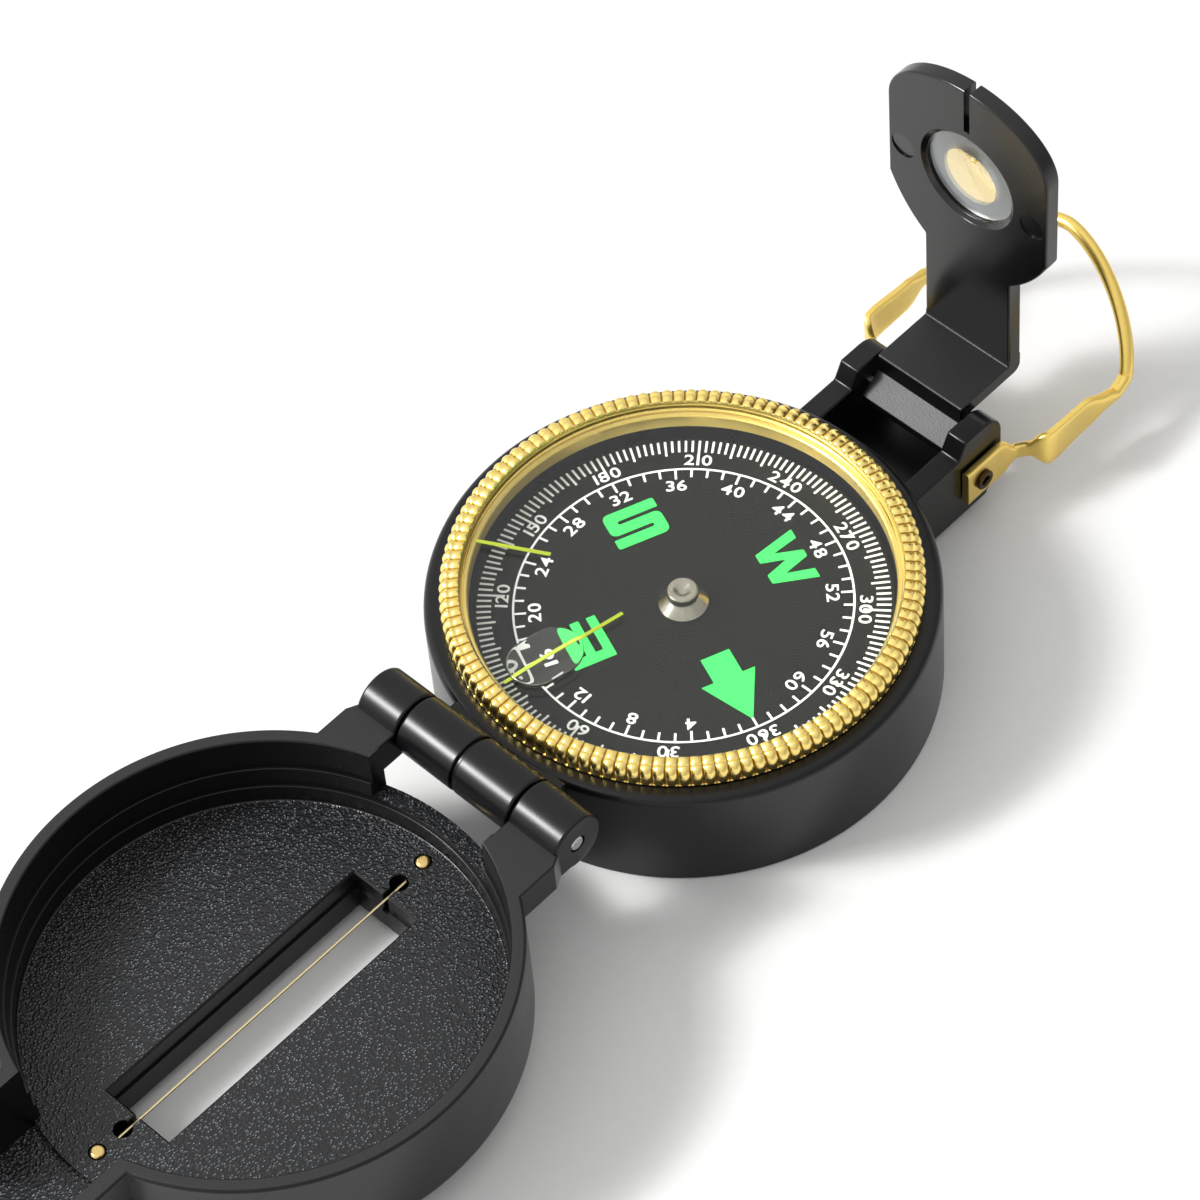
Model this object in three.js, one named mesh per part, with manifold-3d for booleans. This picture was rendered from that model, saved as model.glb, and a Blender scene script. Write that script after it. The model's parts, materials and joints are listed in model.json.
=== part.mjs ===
// Folding lensatic compass, lying open: the cover is laid back, the eyepiece stands and the thumb loop
// is swung out. Millimetres, +Z up. The origin is on the dial axis at the bottom of the base. X runs along
// the hinges, the cover lies towards -Y and the eyepiece stands towards +Y.

import * as THREE from 'three';
import { mergeVertices } from 'three/addons/utils/BufferGeometryUtils.js';
import Module from 'manifold-3d';

const wasm = await Module();
wasm.setup();

// Clearances
const RUN_GAP = 0.2;
const PIN_GAP = 0.12;
const SEAT_GAP = 0.06;

// Base case
const CASE_RADIUS = 27.5;
const BASE_HEIGHT = 14.1;
const BASE_FLOOR = 2.0;
const BASE_EDGE = 0.4;
const RIM_ROUND = 0.9;
const CHAMBER_STEP = 0.5;
const BOSS_RADIUS = 3.0;
const BOSS_HEIGHT = 2.6;

// Cover
const COVER_HEIGHT = 15.2;
const COVER_WALL = 1.6;
const COVER_FLOOR = 5.6;
const COVER_BEVEL_WIDTH = 3.2;
const COVER_BEVEL_HEIGHT = 3.4;
const COVER_KNEE_WIDTH = 1.02;
const COVER_KNEE_HEIGHT = 1.22;
const COVER_LEDGE = 0.35;
const COVER_LEDGE_DEPTHS = [4.5, 7.2];
const CLOSED_GAP = 0.2;
const SIGHT_SLOT_WIDTH = 9.0;
const SIGHT_SLOT_LENGTH = 35.0;
const WIRE_RADIUS = 0.16;
const WIRE_SINK = 0.8;
const WIRE_HOLE_RADIUS = 1.05;
const WIRE_HOLE_REACH = 2.1;
const WIRE_NOTCH_WIDTH = 0.8;
const WIRE_HOLE_DEPTH = 3.0;
const WIRE_PIN_RADIUS = 0.85;
const WIRE_PIN_REACH = 5.6;
const WIRE_PIN_DEPTH = 3.0;
const WIRE_PIN_PROUD = 0.25;
const WIRE_PIN_FLAT = 0.6;
const HOOD_GAP = 1.4;
const HOOD_WALL = 1.8;
const HOOD_SHY = 2.8;
const HOOD_STEP = 0.6;
const HOOD_THICKNESS = 3.0;

// Cover hinge
const BARREL_RADIUS = 3.4;
const BARREL_GAP = 0.6;
const HINGE_RISE = 1.4;
const HINGE_LEFT_END = 13.7;
const HINGE_RIGHT_END = 14.9;
const BASE_KNUCKLE_HALF = 7.9;
const KNUCKLE_GAP = 0.25;
const KNUCKLE_GROOVE = 0.4;
const KNUCKLE_GROOVE_WIDTH = 0.5;
const HINGE_PIN_RADIUS = 0.9;
const HINGE_ARM_HEIGHT = 4.2;
const HINGE_ARM_FLARE = 0.7;
const BASE_ARM_HEIGHT = 2.6;

// Bezel ring and its crystal
const BEZEL_COVER_GAP = 0.5;
const BEZEL_RISE = 2.45;
const BEZEL_LAND = 1.95;
const BEZEL_OVERHANG = 1.1;
const BEZEL_SKIRT_DEPTH = 1.4;
const BEZEL_LIP = 0.4;
const BEZEL_LIP_HEIGHT = 0.5;
const BEZEL_TOOTH_COUNT = 120;
const BEZEL_TOOTH_DEPTH = 0.4;
const BEZEL_EDGE = 0.3;
const CRYSTAL_LEDGE = 0.75;
const CRYSTAL_SEAT_HEIGHT = 1.8;
const CRYSTAL_THICKNESS = 1.0;
const SNAP_WIRE_RADIUS = 0.22;
const SNAP_GAP_ANGLE = 14;
const INDEX_LINE_WIDTH = 0.42;
const INDEX_LINE_HEIGHT = 0.1;
const LONG_LINE_LENGTH = 15.0;
const SHORT_LINE_LENGTH = 8.2;
const LINE_MARGIN = 0.7;
const LONG_LINE_ANGLE = -102;
const SHORT_LINE_ANGLE = -152;
const MAGNIFIER_LENGTH = 8.6;
const MAGNIFIER_WIDTH = 6.2;
const MAGNIFIER_HEIGHT = 0.8;
const MAGNIFIER_MARGIN = 1.6;
const MAGNIFIER_LEVELS = [
  { share: 1.0, rise: 0.0 },
  { share: 1.0, rise: 0.35 },
  { share: 0.93, rise: 0.7 },
  { share: 0.75, rise: 0.9 },
  { share: 0.45, rise: 1.0 },
];

// Dial
const NORTH_ANGLE = -21.8;
const DIAL_DEPTH = 3.5;
const DIAL_GAP = 0.8;
const DIAL_THICKNESS = 0.4;
const CAP_CONE_RADIUS = 2.7;
const CAP_CONE_HEIGHT = 1.05;
const CAP_TOP_RADIUS = 1.7;
const CAP_HEIGHT = 2.35;
const CAP_DIMPLE_RADIUS = 0.9;
const CAP_DIMPLE_DEPTH = 0.35;
const CAP_STEM_RADIUS = 1.6;
const CAP_STEM_LENGTH = 1.9;
const CAP_CROWN = 0.5;
const CAP_EDGE = 0.2;
const JEWEL_RADIUS = 1.0;
const JEWEL_HEIGHT = 0.9;
const JEWEL_PIT_RADIUS = 0.7;
const NEEDLE_RADIUS = 0.6;
const NEEDLE_POINT = 2.0;
const NEEDLE_ROOT = 1.6;
const MAGNET_LENGTH = 32.0;
const MAGNET_WIDTH = 5.0;
const MAGNET_THICKNESS = 1.3;
const MAGNET_POINT = 2.0;

// Eyepiece
const EYEPIECE_REACH = 9.8;
const EYEPIECE_PIVOT_DROP = 5.0;
const EYEPIECE_HALF_WIDTH = 6.0;
const EYEPIECE_LEG = 1.85;
const EYEPIECE_PLATE_RISE = 4.35;
const EYEPIECE_LEG_FRONT = 0.5;
const EYEPIECE_HUB_REACH = 2.16;
const EYEPIECE_FOOT_REACH = 2.2;
const EYEPIECE_FOOT_TOP = 1.85;
const EYEPIECE_FOOT_LIP = -0.1;
const EYEPIECE_FOOT_UNDER = -1.3;
const EYEPIECE_BEND = 0.8;
const UPRIGHT_THICKNESS = 2.0;
const FOLD_CLEARANCE = 0.75;
const NECK_RISE = 17.7;
const SHOULDER_RISE = 24.4;
const SIDE_RISE = 36.4;
const HEAD_HALF_WIDTH = 11.0;
const HEAD_CROWN = 7.4;
const SWEEP_SHARE_X = 0.64;
const SWEEP_SHARE_Z = 0.38;
const LENS_RISE = 30.5;
const LENS_RADIUS = 5.3;
const LENS_EDGE = 1.0;
const LENS_BULGE = 0.55;
const LENS_KNEE_SHARE = 0.6;
const LENS_KNEE_BULGE = 0.34;
const LENS_BEVEL = 1.3;
const LENS_BEVEL_DEPTH = 0.8;
const PEEP_SLOT_WIDTH = 0.8;
const PEEP_SLOT_DEPTH = 6.0;
const MARK_RADIUS = 1.7;
const MARK_DEPTH = 0.2;
const MARK_SPACING = 17.6;
const MARK_RISE = 29.5;
const EYEPIECE_PIN_RADIUS = 0.8;
const EYEPIECE_PIN_COVER = 0.8;

// Ears that carry the eyepiece and the loop
const EAR_GAP = 0.4;
const EAR_THICKNESS = 2.7;
const EAR_DROP = 1.4;
const EAR_FOOT = 1.0;
const EAR_OVERHANG = 3.7;
const EAR_ROUND = 3.7;
const EAR_STEP = 2.2;
const EAR_STEP_REACH = 6.4;
const EAR_STEP_RUN = 1.2;
const WEB_HEIGHT = 3.0;
const WEB_LENGTH = 9.8;

// Thumb loop
const LOOP_PIVOT_SETBACK = 0.6;
const LOOP_PIVOT_DROP = 3.1;
const LOOP_WIRE = 1.6;
const LOOP_FLAT_THICKNESS = 0.9;
const LOOP_TAB_GAP = 0.15;
const LOOP_TAB_FRONT = 2.4;
const LOOP_TAB_END = 3.2;
const LOOP_TAB_WIDTH = 5.1;
const LOOP_NECK_START = 5.2;
const LOOP_NECK_END = 6.2;
const LOOP_NECK_WIDTH = 1.9;
const LOOP_NECK_OUT = 1.1;
const LOOP_LEAF_START = 7.5;
const LOOP_LEAF_END = 13.5;
const LOOP_LEAF_WIDTH = 4.4;
const LOOP_LEAF_OUT = 3.4;
const LOOP_LEAF_RISE = 0.8;
const LOOP_TAPER_LENGTH = 3.0;
const LOOP_TAPER_WIDTH = 2.3;
const LOOP_ARM = 19.7;
const LOOP_ARM_END = 18.3;
const LOOP_ARM_RISE = 0.5;
const LOOP_FLARE = 3.75;
const LOOP_ARC_HEIGHT = 13.0;
const LOOP_ARC_ROUND = 1.6;
const LOOP_ARC_START = 0.04;
const LOOP_LIFT_ANGLE = 60;
const RIVET_RADIUS = 0.75;
const RIVET_DEPTH = 2.2;
const RIVET_HEAD_RADIUS = 1.2;
const RIVET_HEAD_HEIGHT = 0.35;
const RIVET_HEAD_FLAT = 0.8;

// Facets
const CASE_FACETS = 64;
const BARREL_FACETS = 24;
const PIN_FACETS = 16;
const DISC_FACETS = 48;
const CAP_FACETS = 20;
const SNAP_STEPS = 48;
const SNAP_SIDES = 5;
const LOOP_BOW_STEPS = 18;
const LOOP_SIDES = 10;

// Places worked out from the sizes above
const COVER_INNER_RADIUS = CASE_RADIUS - COVER_WALL;
const BEZEL_RADIUS = COVER_INNER_RADIUS - BEZEL_COVER_GAP;
const BEZEL_WINDOW_RADIUS = BEZEL_RADIUS - BEZEL_LAND;
const BEZEL_SKIRT_RADIUS = BEZEL_RADIUS - BEZEL_OVERHANG;
const BEZEL_NECK_RADIUS = BEZEL_SKIRT_RADIUS - BEZEL_LIP;
const BEZEL_SEAT_RADIUS = BEZEL_WINDOW_RADIUS - CRYSTAL_LEDGE;
const BEZEL_UNDER_Z = BASE_HEIGHT + RUN_GAP;
const BEZEL_TOP_Z = BEZEL_UNDER_Z + BEZEL_RISE;
const BEZEL_SKIRT_Z = BEZEL_UNDER_Z - BEZEL_SKIRT_DEPTH;
const BORE_RADIUS = BEZEL_SKIRT_RADIUS + RUN_GAP;
const CHAMBER_RADIUS = BEZEL_SEAT_RADIUS + CHAMBER_STEP;
const SNAP_RADIUS = BORE_RADIUS - SNAP_WIRE_RADIUS / 2;
const SNAP_Z = BEZEL_SKIRT_Z + BEZEL_LIP_HEIGHT + SNAP_WIRE_RADIUS + PIN_GAP;
const CRYSTAL_Z = BEZEL_SKIRT_Z + CRYSTAL_SEAT_HEIGHT;
const CRYSTAL_TOP_Z = CRYSTAL_Z + SEAT_GAP + CRYSTAL_THICKNESS;
const CRYSTAL_RADIUS = BEZEL_WINDOW_RADIUS - SEAT_GAP * 3;
const DIAL_TOP_Z = CRYSTAL_Z - DIAL_DEPTH;
const DIAL_RADIUS = CHAMBER_RADIUS - DIAL_GAP;
const JEWEL_TOP_Z = DIAL_TOP_Z + SEAT_GAP + CAP_HEIGHT - CAP_DIMPLE_DEPTH - CAP_CROWN;
const JEWEL_PIT_Z = JEWEL_TOP_Z - JEWEL_HEIGHT / 3;
const NEEDLE_TIP_Z = JEWEL_PIT_Z - PIN_GAP;
const HINGE_Y = -(CASE_RADIUS + BARREL_GAP + BARREL_RADIUS);
const HINGE_Z = BASE_HEIGHT + HINGE_RISE;
const COVER_Y = 2 * HINGE_Y;
const COVER_RIM_Z = 2 * HINGE_Z - BASE_HEIGHT - CLOSED_GAP;
const COVER_Z = COVER_RIM_Z - COVER_HEIGHT;
const PIVOT_Y = CASE_RADIUS + EYEPIECE_REACH;
const PIVOT_Z = BASE_HEIGHT - EYEPIECE_PIVOT_DROP;
const UPRIGHT_Y = BEZEL_TOP_Z - PIVOT_Z + FOLD_CLEARANCE;
const HOOD_END = -(PIVOT_Y - HOOD_SHY);
const EAR_INNER_X = EYEPIECE_HALF_WIDTH + EAR_GAP;
const EAR_OUTER_X = EAR_INNER_X + EAR_THICKNESS;
const EAR_ROOT_Y = Math.sqrt(((CASE_RADIUS + BORE_RADIUS) / 2) ** 2 - EAR_OUTER_X ** 2);
const LOOP_Y = PIVOT_Y - LOOP_PIVOT_SETBACK;
const LOOP_Z = PIVOT_Z - LOOP_PIVOT_DROP;
const LOOP_TAB_X = EAR_OUTER_X + LOOP_TAB_GAP + LOOP_FLAT_THICKNESS / 2;

// Finishes
const BLACK_PLASTIC = { color: 0x1b1c1d, roughness: 0.45, metalness: 0.0 };
const GLOSS_BLACK = { color: 0x161718, roughness: 0.25, metalness: 0.0 };
const GOLD = { color: 0xd9b24a, roughness: 0.22, metalness: 1.0 };
const BRASS = { color: 0xc9a85c, roughness: 0.3, metalness: 1.0 };
const STEEL = { color: 0xb9bbbd, roughness: 0.25, metalness: 1.0 };
const DIAL_BLACK = { color: 0x2b2c2c, roughness: 0.35, metalness: 0.0 };
const CLEAR = { color: 0xf2f5f4, roughness: 0.04, metalness: 0.0 };
const LUMINOUS = { color: 0xc3d532, roughness: 0.5, metalness: 0.0 };
const MAGNET = { color: 0x4a4a4d, roughness: 0.5, metalness: 0.6 };
const RUBY = { color: 0xb5364c, roughness: 0.1, metalness: 0.0 };

/** Merged copy of a geometry: positions only, no flat faces, every face pointing out. */
function tidy(geometry) {
  const source = geometry.clone();
  source.deleteAttribute('normal');
  source.deleteAttribute('uv');
  const merged = mergeVertices(source, 1e-4);
  const position = merged.attributes.position;
  const index = merged.index.array;
  const corner = [new THREE.Vector3(), new THREE.Vector3(), new THREE.Vector3()];
  const kept = [];
  let volume = 0;
  for (let i = 0; i < index.length; i += 3) {
    const [a, b, c] = [index[i], index[i + 1], index[i + 2]];
    if (a === b || b === c || c === a) continue;
    kept.push(a, b, c);
    [a, b, c].forEach((vertex, k) => corner[k].fromBufferAttribute(position, vertex));
    volume += corner[0].dot(corner[1].clone().cross(corner[2]));
  }
  if (volume < 0) kept.reverse();
  merged.setIndex(kept);
  return merged;
}

/** Solid that can be joined to others and cut by them. */
function solid(geometry) {
  const clean = tidy(geometry);
  const vertProperties = new Float32Array(clean.attributes.position.array);
  const triVerts = new Uint32Array(clean.index.array);
  return new wasm.Manifold(new wasm.Mesh({ numProp: 3, vertProperties, triVerts }));
}

/** Geometry of a joined or cut solid. */
function geometryOf(body) {
  const mesh = body.getMesh();
  const geometry = new THREE.BufferGeometry();
  geometry.setAttribute('position', new THREE.BufferAttribute(new Float32Array(mesh.vertProperties), 3));
  geometry.setIndex(Array.from(mesh.triVerts));
  geometry.computeVertexNormals();
  return geometry;
}

/** One solid joined from several geometries, less several others. */
function shape(joined, removed = []) {
  let body = solid(joined[0]);
  joined.slice(1).forEach((geometry) => { body = body.add(solid(geometry)); });
  removed.forEach((geometry) => { body = body.subtract(solid(geometry)); });
  return geometryOf(body);
}

/** Profile of [radius, height] points turned about the Z axis. */
function turned(points, facets) {
  const profile = points.map(([radius, height]) => new THREE.Vector2(radius, height));
  return new THREE.LatheGeometry(profile, facets).rotateX(Math.PI / 2);
}

/** Profile of [radius, distance] points turned about a line along X; side -1 points it towards -X. */
function turnedX(points, facets, side = 1) {
  const profile = points.map(([radius, distance]) => new THREE.Vector2(radius, distance));
  return new THREE.LatheGeometry(profile, facets).rotateZ(-side * Math.PI / 2);
}

/** Round bar along X. */
function barX(radius, x0, x1, y, z, facets) {
  const bar = new THREE.CylinderGeometry(radius, radius, x1 - x0, facets);
  return bar.rotateZ(Math.PI / 2).translate((x0 + x1) / 2, y, z);
}

/** Round bar along Z. */
function barZ(radius, z0, z1, x, y, facets) {
  const bar = new THREE.CylinderGeometry(radius, radius, z1 - z0, facets);
  return bar.rotateX(Math.PI / 2).translate(x, y, (z0 + z1) / 2);
}

/** Box between two corners. */
function block([x0, y0, z0], [x1, y1, z1]) {
  const box = new THREE.BoxGeometry(x1 - x0, y1 - y0, z1 - z0);
  return box.translate((x0 + x1) / 2, (y0 + y1) / 2, (z0 + z1) / 2);
}

/** Side outline in the Y-Z plane, drawn out along X. */
function drawnX(outline, x0, x1, curveSegments = 8) {
  const body = new THREE.ExtrudeGeometry(outline, { depth: x1 - x0, bevelEnabled: false, curveSegments });
  const axes = new THREE.Matrix4().makeBasis(
    new THREE.Vector3(0, 1, 0),
    new THREE.Vector3(0, 0, 1),
    new THREE.Vector3(1, 0, 0),
  );
  return body.applyMatrix4(axes).translate(x0, 0, 0);
}

/** Front outline in the X-Z plane, drawn out along Y. */
function drawnY(outline, y0, y1, curveSegments = 8) {
  const body = new THREE.ExtrudeGeometry(outline, { depth: y1 - y0, bevelEnabled: false, curveSegments });
  return body.rotateX(Math.PI / 2).translate(0, y1, 0);
}

/** Plan outline in the X-Y plane, drawn out along Z. */
function drawnZ(outline, z0, z1, curveSegments = 8) {
  const body = new THREE.ExtrudeGeometry(outline, { depth: z1 - z0, bevelEnabled: false, curveSegments });
  return body.translate(0, 0, z0);
}

/** Outline through a list of corners. */
function outlineOf(corners) {
  return new THREE.Shape(corners.map(([u, v]) => new THREE.Vector2(u, v)));
}

/** Skin over equal rings of points: closed end to end, or capped at its first and last ring. */
function skin(rings, closed) {
  const size = rings[0].length;
  const index = [];
  const spans = closed ? rings.length : rings.length - 1;
  for (let i = 0; i < spans; i += 1) {
    const here = i * size;
    const next = ((i + 1) % rings.length) * size;
    for (let k = 0; k < size; k += 1) {
      const after = (k + 1) % size;
      index.push(here + k, next + k, here + after);
      index.push(here + after, next + k, next + after);
    }
  }
  if (!closed) {
    const last = (rings.length - 1) * size;
    for (let k = 1; k < size - 1; k += 1) {
      index.push(0, k, k + 1);
      index.push(last, last + k + 1, last + k);
    }
  }
  const geometry = new THREE.BufferGeometry().setFromPoints(rings.flat());
  geometry.setIndex(index);
  return geometry;
}

/** Named mesh with its own finish. */
function piece(name, geometry, finish) {
  const body = tidy(geometry);
  body.computeVertexNormals();
  const mesh = new THREE.Mesh(body, new THREE.MeshStandardMaterial(finish));
  mesh.name = name;
  return mesh;
}

/** Group of pieces at a place, turned about Z by an angle in degrees. */
function assembly(pieces, position = [0, 0, 0], turn = 0) {
  const group = new THREE.Group();
  group.position.set(...position);
  group.rotation.z = THREE.MathUtils.degToRad(turn);
  group.add(...pieces);
  return group;
}

/** Profile points of a rounded outer edge, from the wall up to the rim. */
function roundedRim(radius, height, round) {
  return [0, 1, 2].map((step) => {
    const angle = (step * Math.PI) / 4;
    return [radius - round * (1 - Math.cos(angle)), height - round * (1 - Math.sin(angle))];
  });
}

/** Cup of the base: flat bottom, dial chamber, bezel bore with the snap ring's groove, needle's boss. */
function baseCup() {
  const grooveHalf = SNAP_WIRE_RADIUS + PIN_GAP;
  const grooveRadius = SNAP_RADIUS + grooveHalf;
  return turned([
    [0, 0],
    [CASE_RADIUS - BASE_EDGE, 0],
    [CASE_RADIUS, BASE_EDGE],
    ...roundedRim(CASE_RADIUS, BASE_HEIGHT, RIM_ROUND),
    [BORE_RADIUS, BASE_HEIGHT],
    [BORE_RADIUS, SNAP_Z + grooveHalf],
    [grooveRadius, SNAP_Z + grooveHalf],
    [grooveRadius, SNAP_Z - grooveHalf],
    [BORE_RADIUS, SNAP_Z - grooveHalf],
    [BORE_RADIUS, BEZEL_SKIRT_Z - RUN_GAP],
    [CHAMBER_RADIUS, BEZEL_SKIRT_Z - RUN_GAP],
    [CHAMBER_RADIUS, BASE_FLOOR],
    [BOSS_RADIUS, BASE_FLOOR],
    [BOSS_RADIUS, BASE_FLOOR + BOSS_HEIGHT],
    [0, BASE_FLOOR + BOSS_HEIGHT],
  ], CASE_FACETS);
}

/** Hinge barrel of the base: two knuckles with a groove between them, on an arm from the case wall. */
function baseKnuckles() {
  const half = KNUCKLE_GROOVE_WIDTH / 2;
  const core = BARREL_RADIUS - KNUCKLE_GROOVE;
  const armTop = BASE_HEIGHT - RUN_GAP;
  return [
    barX(BARREL_RADIUS, -BASE_KNUCKLE_HALF, -half, HINGE_Y, HINGE_Z, BARREL_FACETS),
    barX(BARREL_RADIUS, half, BASE_KNUCKLE_HALF, HINGE_Y, HINGE_Z, BARREL_FACETS),
    barX(core, -BASE_KNUCKLE_HALF / 2, BASE_KNUCKLE_HALF / 2, HINGE_Y, HINGE_Z, BARREL_FACETS),
    block(
      [-BASE_KNUCKLE_HALF, HINGE_Y - BARREL_RADIUS / 2, armTop - BASE_ARM_HEIGHT],
      [BASE_KNUCKLE_HALF, -(CASE_RADIUS + BORE_RADIUS) / 2, armTop],
    ),
  ];
}

/** Side outline of an ear: straight from the case wall, a sloped step up, then a rounded end. */
function earOutline() {
  const end = PIVOT_Y + EAR_OVERHANG;
  const top = BASE_HEIGHT - EAR_DROP;
  const step = CASE_RADIUS + EAR_STEP_REACH;
  const outline = new THREE.Shape();
  outline.moveTo(EAR_ROOT_Y, EAR_FOOT);
  outline.lineTo(end - EAR_ROUND, EAR_FOOT);
  outline.absarc(end - EAR_ROUND, EAR_FOOT + EAR_ROUND, EAR_ROUND, -Math.PI / 2, 0, false);
  outline.absarc(end - EAR_ROUND, top - EAR_ROUND, EAR_ROUND, 0, Math.PI / 2, false);
  outline.lineTo(step + EAR_STEP_RUN, top);
  outline.lineTo(step, top - EAR_STEP);
  outline.lineTo(EAR_ROOT_Y, top - EAR_STEP);
  return outline;
}

/** Both ears, and the web that ties them together below. */
function baseEars() {
  return [
    drawnX(earOutline(), EAR_INNER_X, EAR_OUTER_X),
    drawnX(earOutline(), -EAR_OUTER_X, -EAR_INNER_X),
    block(
      [-EAR_OUTER_X, EAR_ROOT_Y, EAR_FOOT],
      [EAR_OUTER_X, CASE_RADIUS + WEB_LENGTH, EAR_FOOT + WEB_HEIGHT],
    ),
  ];
}

/** Base case with its bores for the hinge pin, the needle, the eyepiece pin and the loop's rivets. */
function baseCase() {
  const rivetBore = RIVET_RADIUS + PIN_GAP;
  const rivetRoot = EAR_OUTER_X - RIVET_DEPTH - PIN_GAP;
  const mouth = 2 * EAR_OUTER_X;
  const pinEnd = EAR_OUTER_X - EYEPIECE_PIN_COVER;
  return shape([baseCup(), ...baseKnuckles(), ...baseEars()], [
    barX(HINGE_PIN_RADIUS + PIN_GAP, -HINGE_LEFT_END, HINGE_RIGHT_END, HINGE_Y, HINGE_Z, PIN_FACETS),
    barX(EYEPIECE_PIN_RADIUS + PIN_GAP, -mouth, pinEnd, PIVOT_Y, PIVOT_Z, PIN_FACETS),
    barX(rivetBore, rivetRoot, mouth, LOOP_Y, LOOP_Z, PIN_FACETS),
    barX(rivetBore, -mouth, -rivetRoot, LOOP_Y, LOOP_Z, PIN_FACETS),
    barZ(
      NEEDLE_RADIUS + PIN_GAP,
      BASE_FLOOR + BOSS_HEIGHT - NEEDLE_ROOT - PIN_GAP,
      2 * BASE_HEIGHT,
      0,
      0,
      PIN_FACETS,
    ),
  ]);
}

/** Hinge pin through the knuckles of the base and the cover. */
function hingePin() {
  return barX(HINGE_PIN_RADIUS, -HINGE_LEFT_END, HINGE_RIGHT_END, HINGE_Y, HINGE_Z, PIN_FACETS);
}

/** Pin that the eyepiece turns on: through the left ear and into a blind bore in the right one. */
function eyepiecePin() {
  const end = EAR_OUTER_X - EYEPIECE_PIN_COVER - PIN_GAP;
  return barX(EYEPIECE_PIN_RADIUS, -EAR_OUTER_X, end, PIVOT_Y, PIVOT_Z, PIN_FACETS);
}

/** Needle pressed into the boss, its point standing in the jewel. */
function pivotNeedle() {
  const root = BASE_FLOOR + BOSS_HEIGHT - NEEDLE_ROOT;
  return turned([
    [0, root],
    [NEEDLE_RADIUS, root],
    [NEEDLE_RADIUS, NEEDLE_TIP_Z - NEEDLE_POINT],
    [0, NEEDLE_TIP_Z],
  ], PIN_FACETS);
}

/** Split wire ring in the base's groove, above the lip of the bezel's skirt. */
function snapRing() {
  const gap = THREE.MathUtils.degToRad(SNAP_GAP_ANGLE);
  const rings = [];
  for (let i = 0; i <= SNAP_STEPS; i += 1) {
    const turn = gap / 2 + ((2 * Math.PI - gap) * i) / SNAP_STEPS;
    const ring = [];
    for (let k = 0; k < SNAP_SIDES; k += 1) {
      const angle = (2 * Math.PI * k) / SNAP_SIDES;
      const radius = SNAP_RADIUS + SNAP_WIRE_RADIUS * Math.cos(angle);
      const height = SNAP_Z + SNAP_WIRE_RADIUS * Math.sin(angle);
      ring.push(new THREE.Vector3(radius * Math.cos(turn), radius * Math.sin(turn), height));
    }
    rings.push(ring);
  }
  return skin(rings, false);
}

/** Bezel ring: teeth round its side and across its top, crystal's ledge, skirt with a lip below. */
function bezelRing() {
  const steps = 2 * BEZEL_TOOTH_COUNT;
  const inner = BEZEL_WINDOW_RADIUS;
  const top = BEZEL_TOP_Z;
  const lip = BEZEL_SKIRT_Z + BEZEL_LIP_HEIGHT;
  const rings = [];
  for (let i = 0; i < steps; i += 1) {
    const angle = (2 * Math.PI * i) / steps;
    const cut = i % 2 === 0 ? 0 : BEZEL_TOOTH_DEPTH;
    const section = [
      [BEZEL_SEAT_RADIUS, BEZEL_SKIRT_Z],
      [BEZEL_SEAT_RADIUS, CRYSTAL_Z],
      [inner, CRYSTAL_Z],
      [inner, top - cut],
      [BEZEL_RADIUS - BEZEL_EDGE - cut, top - cut],
      [BEZEL_RADIUS - cut, top - BEZEL_EDGE - cut],
      [BEZEL_RADIUS - cut, BEZEL_UNDER_Z],
      [BEZEL_NECK_RADIUS, BEZEL_UNDER_Z],
      [BEZEL_NECK_RADIUS, lip],
      [BEZEL_SKIRT_RADIUS, lip],
      [BEZEL_SKIRT_RADIUS, BEZEL_SKIRT_Z],
    ];
    rings.push(section.map(([radius, height]) => new THREE.Vector3(
      radius * Math.cos(angle),
      radius * Math.sin(angle),
      height,
    )));
  }
  return skin(rings, true);
}

/** Flat crystal on the bezel's ledge. */
function bezelCrystal() {
  const bottom = CRYSTAL_Z + SEAT_GAP;
  const top = CRYSTAL_TOP_Z;
  return turned([[0, bottom], [CRYSTAL_RADIUS, bottom], [CRYSTAL_RADIUS, top], [0, top]], DISC_FACETS);
}

/** Luminous line on the crystal, running inward from its edge along +X. */
function indexLine(length) {
  const outer = CRYSTAL_RADIUS - LINE_MARGIN;
  return block(
    [outer - length, -INDEX_LINE_WIDTH / 2, CRYSTAL_TOP_Z],
    [outer, INDEX_LINE_WIDTH / 2, CRYSTAL_TOP_Z + INDEX_LINE_HEIGHT],
  );
}

/** Clear magnifier over the long line: round-ended outline with a crowned top, along +X. */
function magnifier() {
  const half = MAGNIFIER_WIDTH / 2;
  const reach = MAGNIFIER_LENGTH / 2 - half;
  const bottom = CRYSTAL_TOP_Z + INDEX_LINE_HEIGHT + SEAT_GAP;
  const rings = MAGNIFIER_LEVELS.map(({ share, rise }) => {
    const ring = [];
    for (let k = 0; k < CAP_FACETS; k += 1) {
      const angle = ((k + 0.5) * 2 * Math.PI) / CAP_FACETS;
      const side = Math.cos(angle) > 0 ? reach : -reach;
      ring.push(new THREE.Vector3(
        side + half * share * Math.cos(angle),
        half * share * Math.sin(angle),
        bottom + rise * MAGNIFIER_HEIGHT,
      ));
    }
    return ring;
  });
  const centre = CRYSTAL_RADIUS - MAGNIFIER_MARGIN - MAGNIFIER_LENGTH / 2;
  return skin(rings, false).translate(centre, 0, 0);
}

/** Thin dial card with a hole for the cap's stem. */
function dialCard() {
  const hole = CAP_STEM_RADIUS + PIN_GAP;
  const bottom = DIAL_TOP_Z - DIAL_THICKNESS;
  return turned([
    [hole, bottom],
    [DIAL_RADIUS, bottom],
    [DIAL_RADIUS, DIAL_TOP_Z],
    [hole, DIAL_TOP_Z],
    [hole, bottom],
  ], DISC_FACETS);
}

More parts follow.
